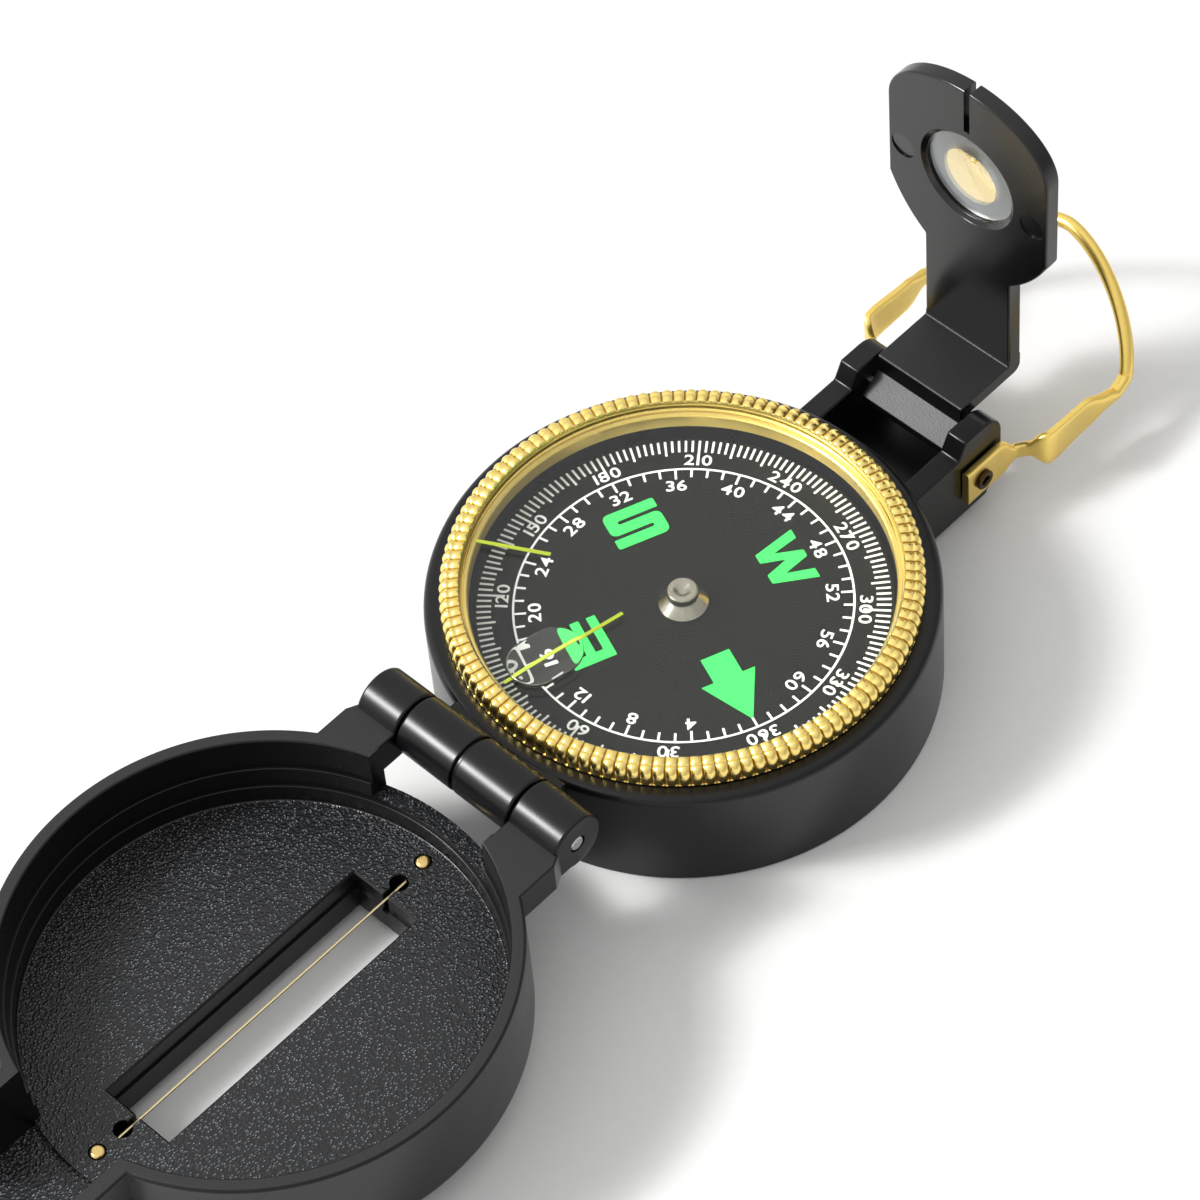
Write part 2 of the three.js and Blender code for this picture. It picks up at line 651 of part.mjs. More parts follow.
/** Bearing cap: cone on the card, round button with a dimple, stem below with the jewel's bore. */
function dialCap() {
  const seat = DIAL_TOP_Z + SEAT_GAP;
  const top = seat + CAP_HEIGHT;
  const bore = JEWEL_RADIUS + PIN_GAP;
  return turned([
    [0, JEWEL_TOP_Z + SEAT_GAP],
    [bore, JEWEL_TOP_Z + SEAT_GAP],
    [bore, seat - CAP_STEM_LENGTH],
    [CAP_STEM_RADIUS, seat - CAP_STEM_LENGTH],
    [CAP_STEM_RADIUS, seat],
    [CAP_CONE_RADIUS, seat],
    [CAP_CONE_RADIUS, seat + CAP_EDGE],
    [CAP_TOP_RADIUS, seat + CAP_CONE_HEIGHT],
    [CAP_TOP_RADIUS, top - CAP_EDGE],
    [CAP_TOP_RADIUS - CAP_EDGE, top],
    [CAP_DIMPLE_RADIUS, top],
    [0, top - CAP_DIMPLE_DEPTH],
  ], CAP_FACETS);
}

/** Jewel in the cap, with a conical pit for the needle's point. */
function pivotJewel() {
  const bottom = JEWEL_TOP_Z - JEWEL_HEIGHT;
  return turned([
    [0, JEWEL_PIT_Z],
    [JEWEL_PIT_RADIUS, bottom],
    [JEWEL_RADIUS, bottom],
    [JEWEL_RADIUS, JEWEL_TOP_Z],
    [0, JEWEL_TOP_Z],
  ], PIN_FACETS);
}

/** Bar magnet under the card, along the dial's north and south, with a hole round the stem. */
function dialMagnet() {
  const half = MAGNET_LENGTH / 2;
  const side = MAGNET_WIDTH / 2;
  const point = MAGNET_POINT;
  const top = DIAL_TOP_Z - DIAL_THICKNESS - SEAT_GAP;
  const outline = outlineOf([
    [half, 0],
    [half - point, side],
    [point - half, side],
    [-half, 0],
    [point - half, -side],
    [half - point, -side],
  ]);
  const hole = new THREE.Path();
  hole.absarc(0, 0, CAP_STEM_RADIUS + PIN_GAP, 0, 2 * Math.PI, true);
  outline.holes.push(hole);
  return drawnZ(outline, top - MAGNET_THICKNESS, top, CAP_FACETS / 2);
}

/** Cover cup, rim up, from its outer face at height 0: bevel, stepped inner wall, thick floor. */
function coverCup() {
  const rim = COVER_HEIGHT;
  const [first, second] = COVER_LEDGE_DEPTHS;
  const inner = COVER_INNER_RADIUS;
  return turned([
    [0, 0],
    [CASE_RADIUS - COVER_BEVEL_WIDTH, 0],
    [CASE_RADIUS - COVER_KNEE_WIDTH, COVER_KNEE_HEIGHT],
    [CASE_RADIUS, COVER_BEVEL_HEIGHT],
    ...roundedRim(CASE_RADIUS, rim, BASE_EDGE),
    [inner, rim],
    [inner, rim - first],
    [inner - COVER_LEDGE, rim - first],
    [inner - COVER_LEDGE, rim - second],
    [inner - 2 * COVER_LEDGE, rim - second],
    [inner - 2 * COVER_LEDGE, COVER_FLOOR],
    [0, COVER_FLOOR],
  ], CASE_FACETS);
}

/** Hinge arm and knuckle on one side of the cover. */
function coverArm(side) {
  const near = BASE_KNUCKLE_HALF + KNUCKLE_GAP;
  const far = side > 0 ? HINGE_RIGHT_END : HINGE_LEFT_END;
  const flare = far + HINGE_ARM_FLARE;
  const hinge = -HINGE_Y;
  const wallAt = (x) => Math.sqrt((CASE_RADIUS - COVER_WALL / 2) ** 2 - x ** 2);
  const rim = COVER_HEIGHT;
  const plan = [
    [near, hinge],
    [near, wallAt(near)],
    [flare, wallAt(flare)],
    [flare, hinge - BARREL_RADIUS - HINGE_ARM_FLARE],
    [far, hinge - BARREL_RADIUS + HINGE_ARM_FLARE],
    [far, hinge],
  ];
  const arm = drawnZ(outlineOf(plan.map(([x, y]) => [side * x, y])), rim - HINGE_ARM_HEIGHT, rim);
  const [x0, x1] = side > 0 ? [near, far] : [-far, -near];
  return [arm, barX(BARREL_RADIUS, x0, x1, hinge, HINGE_Z - COVER_Z, BARREL_FACETS)];
}

/** Hood that runs out from the rim opposite the hinge: two side walls and a floor. */
function coverHood() {
  const outer = EYEPIECE_HALF_WIDTH + HOOD_GAP + HOOD_WALL;
  const floor = COVER_FLOOR - HOOD_STEP;
  const root = -Math.sqrt((CASE_RADIUS - COVER_WALL / 2) ** 2 - outer ** 2);
  const end = HOOD_END;
  const corner = HOOD_WALL;
  const plan = outlineOf([
    [-outer, root],
    [-outer, end + corner],
    [-outer + corner, end],
    [outer - corner, end],
    [outer, end + corner],
    [outer, root],
  ]);
  return drawnZ(plan, floor - HOOD_THICKNESS, COVER_HEIGHT);
}

/** Openings in the cover: sight slot, wire notches and holes, pin bores, hood's mouth, hinge bore. */
function coverCuts() {
  const slotX = SIGHT_SLOT_WIDTH / 2;
  const slotY = SIGHT_SLOT_LENGTH / 2;
  const holeY = slotY + WIRE_HOLE_REACH;
  const pinY = slotY + WIRE_PIN_REACH;
  const notch = WIRE_NOTCH_WIDTH / 2;
  const holeZ = COVER_FLOOR - WIRE_HOLE_DEPTH;
  const pinZ = COVER_FLOOR - WIRE_PIN_DEPTH - PIN_GAP;
  const mouthX = EYEPIECE_HALF_WIDTH + HOOD_GAP;
  const over = 2 * COVER_HEIGHT;
  const cup = barZ(COVER_INNER_RADIUS, -over, over, 0, 0, CASE_FACETS);
  const step = block([-mouthX, 2 * HOOD_END, COVER_FLOOR - HOOD_STEP], [mouthX, 0, over]);
  const cuts = [
    block([-slotX, -slotY, -over], [slotX, slotY, over]),
    block([-notch, -holeY, holeZ], [notch, holeY, over]),
    geometryOf(solid(step).subtract(solid(cup))),
    block([-mouthX, -CASE_RADIUS, COVER_FLOOR], [mouthX, 0, over]),
    barX(HINGE_PIN_RADIUS + PIN_GAP, -CASE_RADIUS, CASE_RADIUS, -HINGE_Y, HINGE_Z - COVER_Z, PIN_FACETS),
  ];
  [-1, 1].forEach((side) => {
    cuts.push(barZ(WIRE_HOLE_RADIUS, holeZ, over, 0, side * holeY, PIN_FACETS));
    cuts.push(barZ(WIRE_PIN_RADIUS + PIN_GAP, pinZ, over, 0, side * pinY, PIN_FACETS));
  });
  return cuts;
}

/** Cover shell. */
function coverShell() {
  return shape([coverCup(), ...coverArm(-1), ...coverArm(1), hollowHood()], coverCuts());
}

/** Hood with the round cup taken out of it, so that it only adds to the outside of the wall. */
function hollowHood() {
  const over = 2 * COVER_HEIGHT;
  const cup = barZ(CASE_RADIUS - COVER_WALL / 2, -over, over, 0, 0, CASE_FACETS);
  return geometryOf(solid(coverHood()).subtract(solid(cup)));
}

/** Sighting wire across the slot, from one end hole to the other. */
function sightingWire() {
  const reach = SIGHT_SLOT_LENGTH / 2 + WIRE_HOLE_REACH + WIRE_HOLE_RADIUS - PIN_GAP;
  const wire = new THREE.CylinderGeometry(WIRE_RADIUS, WIRE_RADIUS, 2 * reach, 8);
  return wire.translate(0, 0, COVER_FLOOR - WIRE_SINK);
}

/** Brass pin beside one end of the wire. */
function wirePin(side) {
  const y = side * (SIGHT_SLOT_LENGTH / 2 + WIRE_PIN_REACH);
  const bottom = COVER_FLOOR - WIRE_PIN_DEPTH;
  const top = COVER_FLOOR + WIRE_PIN_PROUD;
  return turned([
    [0, bottom],
    [WIRE_PIN_RADIUS, bottom],
    [WIRE_PIN_RADIUS, top - WIRE_PIN_PROUD],
    [WIRE_PIN_FLAT, top],
    [0, top],
  ], PIN_FACETS).translate(0, y, 0);
}

/** Side outline of the eyepiece's lower part, about its pivot: foot, leg and flat plate. */
function eyepieceLegOutline() {
  const plateTop = EYEPIECE_PLATE_RISE;
  const plateBottom = plateTop - EYEPIECE_LEG;
  const back = UPRIGHT_Y + UPRIGHT_THICKNESS;
  return outlineOf([
    [-EYEPIECE_FOOT_REACH, EYEPIECE_FOOT_LIP],
    [-EYEPIECE_FOOT_REACH, EYEPIECE_FOOT_UNDER],
    [0, -EYEPIECE_HUB_REACH],
    [EYEPIECE_HUB_REACH, 0],
    [EYEPIECE_HUB_REACH, plateBottom],
    [back - EYEPIECE_BEND, plateBottom],
    [back, plateBottom + EYEPIECE_BEND],
    [back, plateTop + EYEPIECE_BEND],
    [UPRIGHT_Y, plateTop + EYEPIECE_BEND],
    [UPRIGHT_Y, plateTop],
    [EYEPIECE_LEG_FRONT, plateTop],
    [EYEPIECE_LEG_FRONT, EYEPIECE_FOOT_TOP],
  ]);
}

/** Front outline of the upright, about the pivot: straight neck, rounded shoulders, oval crown. */
function eyepieceHeadOutline() {
  const neck = EYEPIECE_HALF_WIDTH;
  const head = HEAD_HALF_WIDTH;
  const bulgeX = neck + (head - neck) * SWEEP_SHARE_X;
  const bulgeZ = NECK_RISE + (SHOULDER_RISE - NECK_RISE) * SWEEP_SHARE_Z;
  const outline = new THREE.Shape();
  outline.moveTo(-neck, EYEPIECE_PLATE_RISE);
  outline.lineTo(neck, EYEPIECE_PLATE_RISE);
  outline.lineTo(neck, NECK_RISE);
  outline.quadraticCurveTo(bulgeX, bulgeZ, head, SHOULDER_RISE);
  outline.lineTo(head, SIDE_RISE);
  outline.absellipse(0, SIDE_RISE, head, HEAD_CROWN, 0, Math.PI, false);
  outline.lineTo(-head, SHOULDER_RISE);
  outline.quadraticCurveTo(-bulgeX, bulgeZ, -neck, NECK_RISE);
  return outline;
}

/** Eyepiece bracket about its pivot, with the bevelled lens seat, peep slot, two marks and the pin's bore. */
function eyepieceBracket() {
  const front = UPRIGHT_Y;
  const back = UPRIGHT_Y + UPRIGHT_THICKNESS;
  const before = front - UPRIGHT_THICKNESS;
  const behind = back + UPRIGHT_THICKNESS;
  const seat = LENS_RADIUS + PIN_GAP;
  const crown = SIDE_RISE + HEAD_CROWN;
  const slot = PEEP_SLOT_WIDTH / 2;
  const lensSeat = new THREE.LatheGeometry([
    [0, before],
    [seat + LENS_BEVEL, before],
    [seat + LENS_BEVEL, front],
    [seat, front + LENS_BEVEL_DEPTH],
    [seat, behind],
    [0, behind],
  ].map(([radius, distance]) => new THREE.Vector2(radius, distance)), CASE_FACETS / 2);
  const mark = (side) => new THREE.CylinderGeometry(MARK_RADIUS, MARK_RADIUS, 2 * MARK_DEPTH, PIN_FACETS)
    .translate((side * MARK_SPACING) / 2, front, MARK_RISE);
  const width = EYEPIECE_HALF_WIDTH;
  return shape([
    drawnX(eyepieceLegOutline(), -width, width),
    drawnY(eyepieceHeadOutline(), front, back, 10),
  ], [
    lensSeat.translate(0, 0, LENS_RISE),
    block([-slot, before, crown - PEEP_SLOT_DEPTH], [slot, behind, crown + PEEP_SLOT_DEPTH]),
    mark(-1),
    mark(1),
    barX(EYEPIECE_PIN_RADIUS + PIN_GAP, -2 * width, 2 * width, 0, 0, PIN_FACETS),
  ]);
}

/** Double-convex eyepiece lens in its seat. */
function eyepieceLens() {
  const rear = UPRIGHT_Y + UPRIGHT_THICKNESS - RUN_GAP;
  const edge = rear - LENS_EDGE;
  const profile = [
    [0, edge - LENS_BULGE],
    [LENS_RADIUS * LENS_KNEE_SHARE, edge - LENS_KNEE_BULGE],
    [LENS_RADIUS, edge],
    [LENS_RADIUS, rear],
    [LENS_RADIUS * LENS_KNEE_SHARE, rear + LENS_KNEE_BULGE],
    [0, rear + LENS_BULGE],
  ].map(([radius, distance]) => new THREE.Vector2(radius, distance));
  return new THREE.LatheGeometry(profile, CASE_FACETS / 2).translate(0, 0, LENS_RISE);
}

/** Centre, width, thickness and flatness of the loop's wire along one arm, from its tab to its bend. */
function loopArmStations(side) {
  const thin = LOOP_FLAT_THICKNESS;
  const wire = LOOP_WIRE;
  const taper = LOOP_LEAF_END + LOOP_TAPER_LENGTH;
  const station = (y, out, rise, width, thickness, flatness) => ({
    centre: new THREE.Vector3(side * (LOOP_TAB_X + out), y, rise),
    width,
    thickness,
    flatness,
  });
  return [
    station(-LOOP_TAB_FRONT, 0, 0, LOOP_TAB_WIDTH, thin, 4),
    station(LOOP_TAB_END, 0, 0, LOOP_TAB_WIDTH, thin, 4),
    station(LOOP_NECK_START, LOOP_NECK_OUT / 2, 0, LOOP_NECK_WIDTH, thin, 3),
    station(LOOP_NECK_END, LOOP_NECK_OUT + LOOP_NECK_OUT / 2, LOOP_LEAF_RISE / 2, LOOP_NECK_WIDTH, thin, 3),
    station(LOOP_LEAF_START, LOOP_LEAF_OUT, LOOP_LEAF_RISE, LOOP_TAB_WIDTH, thin, 4),
    station(LOOP_LEAF_END, LOOP_LEAF_OUT, LOOP_LEAF_RISE, LOOP_LEAF_WIDTH, thin, 4),
    station(taper, LOOP_FLARE, LOOP_LEAF_RISE, LOOP_TAPER_WIDTH, (thin + wire) / 2, 3),
    station(LOOP_ARM_END, LOOP_FLARE, LOOP_ARM_RISE, wire, wire, 2),
  ];
}

/** Value raised to a power, with its sign kept. */
function signedPower(value, power) {
  return Math.sign(value) * Math.abs(value) ** power;
}

/** Loop of wire about its rivets: two flattened arms, bent up into one round bow. */
function thumbLoop() {
  const lift = THREE.MathUtils.degToRad(LOOP_LIFT_ANGLE);
  const bowX = LOOP_TAB_X + LOOP_FLARE;
  const bow = [];
  for (let i = 0; i <= LOOP_BOW_STEPS; i += 1) {
    const angle = Math.PI * (LOOP_ARC_START + ((1 - 2 * LOOP_ARC_START) * i) / LOOP_BOW_STEPS);
    const height = LOOP_ARC_HEIGHT * signedPower(Math.sin(angle), 2 / LOOP_ARC_ROUND);
    const centre = new THREE.Vector3(
      bowX * signedPower(Math.cos(angle), 2 / LOOP_ARC_ROUND),
      LOOP_ARM + height * Math.cos(lift),
      LOOP_ARM_RISE + height * Math.sin(lift),
    );
    bow.push({ centre, width: LOOP_WIRE, thickness: LOOP_WIRE, flatness: 2 });
  }
  const stations = [...loopArmStations(1), ...bow, ...loopArmStations(-1).reverse()];
  const vertical = new THREE.Vector3(0, 0, 1);
  const rings = stations.map(({ centre, width, thickness, flatness }, i) => {
    const before = stations[Math.max(0, i - 1)].centre;
    const after = stations[Math.min(stations.length - 1, i + 1)].centre;
    const along = after.clone().sub(before).normalize();
    const up = vertical.clone().addScaledVector(along, -vertical.dot(along)).normalize();
    const across = along.clone().cross(up);
    const ring = [];
    for (let k = 0; k < LOOP_SIDES; k += 1) {
      const angle = ((k + 0.5) * 2 * Math.PI) / LOOP_SIDES;
      const point = centre.clone();
      point.addScaledVector(up, (signedPower(Math.cos(angle), 2 / flatness) * width) / 2);
      point.addScaledVector(across, (signedPower(Math.sin(angle), 2 / flatness) * thickness) / 2);
      ring.push(point);
    }
    return ring;
  });
  const bore = barX(RIVET_RADIUS + PIN_GAP, -2 * bowX, 2 * bowX, 0, 0, PIN_FACETS);
  return shape([skin(rings, false)], [bore]);
}

/** Rivet through one tab of the loop into the ear, about the loop's pivot. */
function loopRivet(side) {
  const root = EAR_OUTER_X - RIVET_DEPTH;
  const seat = LOOP_TAB_X + LOOP_FLAT_THICKNESS / 2 + PIN_GAP;
  return turnedX([
    [0, root],
    [RIVET_RADIUS, root],
    [RIVET_RADIUS, seat],
    [RIVET_HEAD_RADIUS, seat],
    [RIVET_HEAD_FLAT, seat + RIVET_HEAD_HEIGHT],
    [0, seat + RIVET_HEAD_HEIGHT],
  ], PIN_FACETS, side);
}

const base = assembly([
  piece('base_case', baseCase(), BLACK_PLASTIC),
  piece('hinge_pin', hingePin(), STEEL),
  piece('pivot_needle', pivotNeedle(), STEEL),
  piece('bezel_snap_ring', snapRing(), STEEL),
  piece('eyepiece_pin', eyepiecePin(), STEEL),
]);

const rivets = assembly([
  piece('loop_rivet_right', loopRivet(1), BLACK_PLASTIC),
  piece('loop_rivet_left', loopRivet(-1), BLACK_PLASTIC),
], [0, LOOP_Y, LOOP_Z]);

const bezel = assembly([
  piece('bezel_ring', bezelRing(), GOLD),
  piece('bezel_crystal', bezelCrystal(), CLEAR),
]);

const longLine = assembly([
  piece('long_index_line', indexLine(LONG_LINE_LENGTH), LUMINOUS),
  piece('magnifier', magnifier(), CLEAR),
], [0, 0, 0], LONG_LINE_ANGLE);

const shortLine = assembly([
  piece('short_index_line', indexLine(SHORT_LINE_LENGTH), LUMINOUS),
], [0, 0, 0], SHORT_LINE_ANGLE);

const dial = assembly([
  piece('dial_card', dialCard(), DIAL_BLACK),
  piece('dial_cap', dialCap(), STEEL),
  piece('pivot_jewel', pivotJewel(), RUBY),
  piece('dial_magnet', dialMagnet(), MAGNET),
], [0, 0, 0], NORTH_ANGLE);

const cover = assembly([
  piece('cover_shell', coverShell(), BLACK_PLASTIC),
  piece('sighting_wire', sightingWire(), BRASS),
  piece('wire_pin_hinge_end', wirePin(1), BRASS),
  piece('wire_pin_hood_end', wirePin(-1), BRASS),
], [0, COVER_Y, COVER_Z]);

const eyepiece = assembly([
  piece('eyepiece_bracket', eyepieceBracket(), GLOSS_BLACK),
  piece('eyepiece_lens', eyepieceLens(), CLEAR),
], [0, PIVOT_Y, PIVOT_Z]);

const loop = assembly([
  piece('thumb_loop', thumbLoop(), GOLD),
], [0, LOOP_Y, LOOP_Z]);

const compass = new THREE.Group();
compass.add(base, rivets, bezel, longLine, shortLine, dial, cover, eyepiece, loop);

export default compass;
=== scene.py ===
"""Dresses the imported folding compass: fine meshes, finishes, dial print, studio light and camera.

Every size is in millimetres in the part's own frame and turns into metres when a mesh is made.
+Z is up along the dial axis, X runs along the hinges and the cover lies towards -Y.
"""

from __future__ import annotations

import json
import logging
import math
from collections.abc import Callable, Iterator
from contextlib import contextmanager
from dataclasses import dataclass, field
from enum import Enum, IntEnum

import bmesh
import bpy
from mathutils import Matrix, Vector

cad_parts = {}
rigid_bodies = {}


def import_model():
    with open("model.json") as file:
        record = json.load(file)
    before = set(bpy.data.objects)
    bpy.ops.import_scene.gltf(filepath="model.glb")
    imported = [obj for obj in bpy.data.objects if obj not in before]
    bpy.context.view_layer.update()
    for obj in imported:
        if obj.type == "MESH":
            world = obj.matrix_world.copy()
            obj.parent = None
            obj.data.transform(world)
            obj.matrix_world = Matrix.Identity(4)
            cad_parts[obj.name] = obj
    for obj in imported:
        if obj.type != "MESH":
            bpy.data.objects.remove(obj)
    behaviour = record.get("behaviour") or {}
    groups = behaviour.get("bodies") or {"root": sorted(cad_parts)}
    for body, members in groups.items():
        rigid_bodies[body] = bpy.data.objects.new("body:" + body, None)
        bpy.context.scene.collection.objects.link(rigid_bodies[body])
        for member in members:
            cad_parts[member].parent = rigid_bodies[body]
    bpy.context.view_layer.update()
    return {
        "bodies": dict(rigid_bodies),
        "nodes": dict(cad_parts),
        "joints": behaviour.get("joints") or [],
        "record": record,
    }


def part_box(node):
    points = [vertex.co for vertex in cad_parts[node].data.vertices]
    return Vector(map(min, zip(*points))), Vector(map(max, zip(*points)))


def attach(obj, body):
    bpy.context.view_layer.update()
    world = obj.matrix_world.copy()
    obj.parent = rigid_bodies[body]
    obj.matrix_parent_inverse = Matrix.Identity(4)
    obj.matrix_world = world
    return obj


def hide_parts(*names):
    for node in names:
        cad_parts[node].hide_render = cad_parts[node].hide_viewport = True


MM = 0.001
SMOOTH_ANGLE = math.radians(38)
MERGE_DISTANCE = 1e-7
FUSE_MERGE_DISTANCE = 1e-6
BEVEL_STEPS = 3
BEVEL_ROUND = 0.5
# An arc takes up at most this share of each side that it joins
ARC_REACH = 0.49
# Blender's wave texture repeats every pi / 10 at a scale of 1
WAVE_PERIOD = math.pi / 10

Point2 = tuple[float, float]
Point3 = tuple[float, float, float]
Corner = tuple[float, float, float]

log = logging.getLogger("compass")


class Axis(Enum):
    """Line that a profile turns about or an outline is drawn along: where its u, v and depth go."""

    X = (1, 2, 0)
    Y = (0, 2, 1)
    Z = (0, 1, 2)


class Flats(IntEnum):
    """Flats round a turned surface, by what it is."""

    BORE = 32
    ROD = 40
    PIN_HEAD = 48
    BARREL = 72
    SMALL_DISC = 96
    DISC = 160
    CASE = 192
    CIRCLE = 240


class Fuse(Enum):
    """How one mesh meets another."""

    JOIN = "UNION"
    CUT = "DIFFERENCE"


class Tool(Enum):
    """Surface of the mould that the plastic copies: the texture that draws it, and its height output."""

    ERODED = ("ShaderNodeTexVoronoi", "Distance")
    POLISHED = ("ShaderNodeTexNoise", "Fac")


class Body(Enum):
    """Moving bodies of the compass."""

    BASE = "base"
    BEZEL = "bezel"
    DIAL = "dial"
    COVER = "cover"
    EYEPIECE = "eyepiece"
    LOOP = "loop"


def linear(shade: str) -> tuple[float, float, float, float]:
    """Turns an sRGB hex colour into linear light.

    Args:
        shade: six hex digits, such as "d9b24a".

    Returns:
        Red, green, blue and an alpha of 1.
    """
    parts = [int(shade[i:i + 2], 16) / 255 for i in (0, 2, 4)]
    light = [c / 12.92 if c <= 0.04045 else ((c + 0.055) / 1.055) ** 2.4 for c in parts]
    return (light[0], light[1], light[2], 1.0)


def per_mm(size: float) -> float:
    """Texture scale whose features are about this many millimetres apart."""
    return 1 / (size * MM)


def add(tree: bpy.types.NodeTree, kind: str, settings: dict | None = None,
        links: dict | None = None) -> bpy.types.Node:
    """Adds a node with its settings and links.

    Args:
        tree: the node tree.
        kind: Blender's name for the node.
        settings: values by attribute name, or by input name or number.
        links: output sockets by input name or number.

    Returns:
        The new node.
    """
    node = tree.nodes.new(kind)
    for key, value in (settings or {}).items():
        if isinstance(key, str) and hasattr(node, key):
            setattr(node, key, value)
        else:
            node.inputs[key].default_value = value
    for key, socket in (links or {}).items():
        tree.links.new(socket, node.inputs[key])
    return node


def blank(name: str) -> tuple[bpy.types.Material, bpy.types.NodeTree]:
    """New node material with nothing in its tree.

    Args:
        name: the material's name.

    Returns:
        The material and its tree.
    """
    material = bpy.data.materials.new(name)
    material.use_nodes = True
    material.node_tree.nodes.clear()
    return material, material.node_tree


def shaded(tree: bpy.types.NodeTree, shades: tuple[str, str], blend: bpy.types.NodeSocket,
           settings: dict, links: dict) -> None:
    """Ends a tree in a shader whose colour runs between two shades.

    Args:
        tree: the material's tree.
        shades: the sRGB hex colours at a blend of 0 and of 1.
        blend: the output that mixes them.
        settings: the shader's own settings.
        links: the shader's links apart from its colour.
    """
    first, second = (linear(shade) for shade in shades)
    colour = add(tree, "ShaderNodeMix", {"data_type": "RGBA", 6: first, 7: second}, {0: blend})
    shader = add(tree, "ShaderNodeBsdfPrincipled", settings, {"Base Color": colour.outputs[2], **links})
    add(tree, "ShaderNodeOutputMaterial", None, {"Surface": shader.outputs["BSDF"]})


def linked(name: str, data: bpy.types.ID) -> bpy.types.Object:
    """New object in the scene.

    Args:
        name: the object's name.
        data: its mesh, curve, lamp or camera.

    Returns:
        The object.
    """
    item = bpy.data.objects.new(name, data)
    bpy.context.scene.collection.objects.link(item)
    return item


def evaluated(item: bpy.types.Object) -> bpy.types.Mesh:
    """Mesh of an object once its modifiers or its text are worked out.

    Args:
        item: the object.

    Returns:
        A new mesh.
    """
    bpy.context.view_layer.update()
    graph = bpy.context.evaluated_depsgraph_get()
    return bpy.data.meshes.new_from_object(item.evaluated_get(graph), depsgraph=graph)


@contextmanager
def opened(mesh: bpy.types.Mesh) -> Iterator[bmesh.types.BMesh]:
    """Opens a mesh for editing and writes the edit back to it.

    Args:
        mesh: the mesh, which is changed.

    Yields:
        The mesh in the form for editing.
    """
    work = bmesh.new()
    work.from_mesh(mesh)
    yield work
    work.to_mesh(mesh)
    work.free()


def merge(work: bmesh.types.BMesh, distance: float) -> None:
    """Merges points that coincide and takes out the slivers that this leaves."""
    bmesh.ops.remove_doubles(work, verts=work.verts, dist=distance)
    bmesh.ops.dissolve_degenerate(work, edges=work.edges, dist=distance)


def rounded(corners: list[Corner], closed: bool = True, steps: int = 6) -> list[Point2]:
    """Outline with its corners turned into arcs.

    Args:
        corners: u, v and arc radius of each corner; an arc is limited by its two sides.
        closed: whether the last corner joins the first.
        steps: straight steps in each arc.

    Returns:
        The outline's points.
    """
    points = []
    for i, (u, v, radius) in enumerate(corners):
        if radius <= 0 or (not closed and i in (0, len(corners) - 1)):
            points.append((u, v))
            continue
        here = Vector((u, v))
        back = Vector(corners[i - 1][:2]) - here
        ahead = Vector(corners[(i + 1) % len(corners)][:2]) - here
        half = back.angle(ahead) / 2
        reach = min(radius / math.tan(half), ARC_REACH * back.length, ARC_REACH * ahead.length)
        middle = (back.normalized() + ahead.normalized()).normalized()
        centre = here + middle * (reach / math.cos(half))
        start = here + back.normalized() * reach - centre
        end = here + ahead.normalized() * reach - centre
        sweep = start.angle_signed(end)
        turns = [Matrix.Rotation(-sweep * k / steps, 2) for k in range(steps + 1)]
        points += [tuple(centre + turn @ start) for turn in turns]
    return points


def mesh_of(points: list[Point3], faces: list[tuple[int, ...]]) -> bpy.types.Mesh:
    """Clean mesh from points and faces: merged, with every face pointing out.

    Args:
        points: the points, in millimetres.
        faces: the numbers of each face's points, in order.

    Returns:
        The mesh, in metres.
    """
    mesh = bpy.data.meshes.new("part")
    with opened(mesh) as work:
        verts = [work.verts.new(Vector(point) * MM) for point in points]
        for face in faces:
            work.faces.new([verts[k] for k in face])
        merge(work, MERGE_DISTANCE)
        bmesh.ops.recalc_face_normals(work, faces=work.faces)
    return mesh


def skin(rings: list[list[Point3]], looped: bool, tube: bool = True) -> bpy.types.Mesh:
    """Skin over equal rings of points.

    Args:
        rings: the rings, in order.
        looped: whether the last ring joins the first; otherwise tubes get end caps.
        tube: whether each ring closes on itself.

    Returns:
        The mesh.
    """
    size = len(rings[0])
    spans = len(rings) if looped else len(rings) - 1
    steps = size if tube else size - 1
    faces = []
    for i in range(spans):
        here = i * size
        there = (i + 1) % len(rings) * size
        for k in range(steps):
            after = (k + 1) % size
            faces.append((here + k, here + after, there + after, there + k))
    if tube and not looped:
        last = (len(rings) - 1) * size
        faces.append(tuple(range(size)))
        faces.append(tuple(range(last, last + size)))
    return mesh_of([point for ring in rings for point in ring], faces)


def spot(axis: Axis, centre: Point3, u: float, v: float, depth: float) -> Point3:
    """Point at u, v and depth along an axis.

    Args:
        axis: the axis, which says where u, v and depth go.
        centre: the point that they count from.
        u: first distance across the axis.
        v: second distance across the axis.
        depth: distance along the axis.

    Returns:
        The point in the part's frame.
    """
    point = list(centre)
    for place, distance in zip(axis.value, (u, v, depth)):
        point[place] += distance
    return tuple(point)


def turned(profile: list[Point2], flats: int, axis: Axis = Axis.Z,
           centre: Point3 = (0, 0, 0), hollow: bool = False) -> bpy.types.Mesh:
    """Profile of (radius, distance) points turned about a line.

    Args:
        profile: points from axis to axis, or a closed loop if hollow.
        flats: flats round the turn.
        axis: direction of the line.
        centre: a point on the line, where distance is 0.
        hollow: whether the profile closes on itself away from the line.

    Returns:
        The mesh.
    """
    rings = []
    for i in range(flats):
        angle = 2 * math.pi * i / flats
        rings.append([
            spot(axis, centre, radius * math.cos(angle), radius * math.sin(angle), distance)
            for radius, distance in profile
        ])
    return skin(rings, looped=True, tube=hollow)


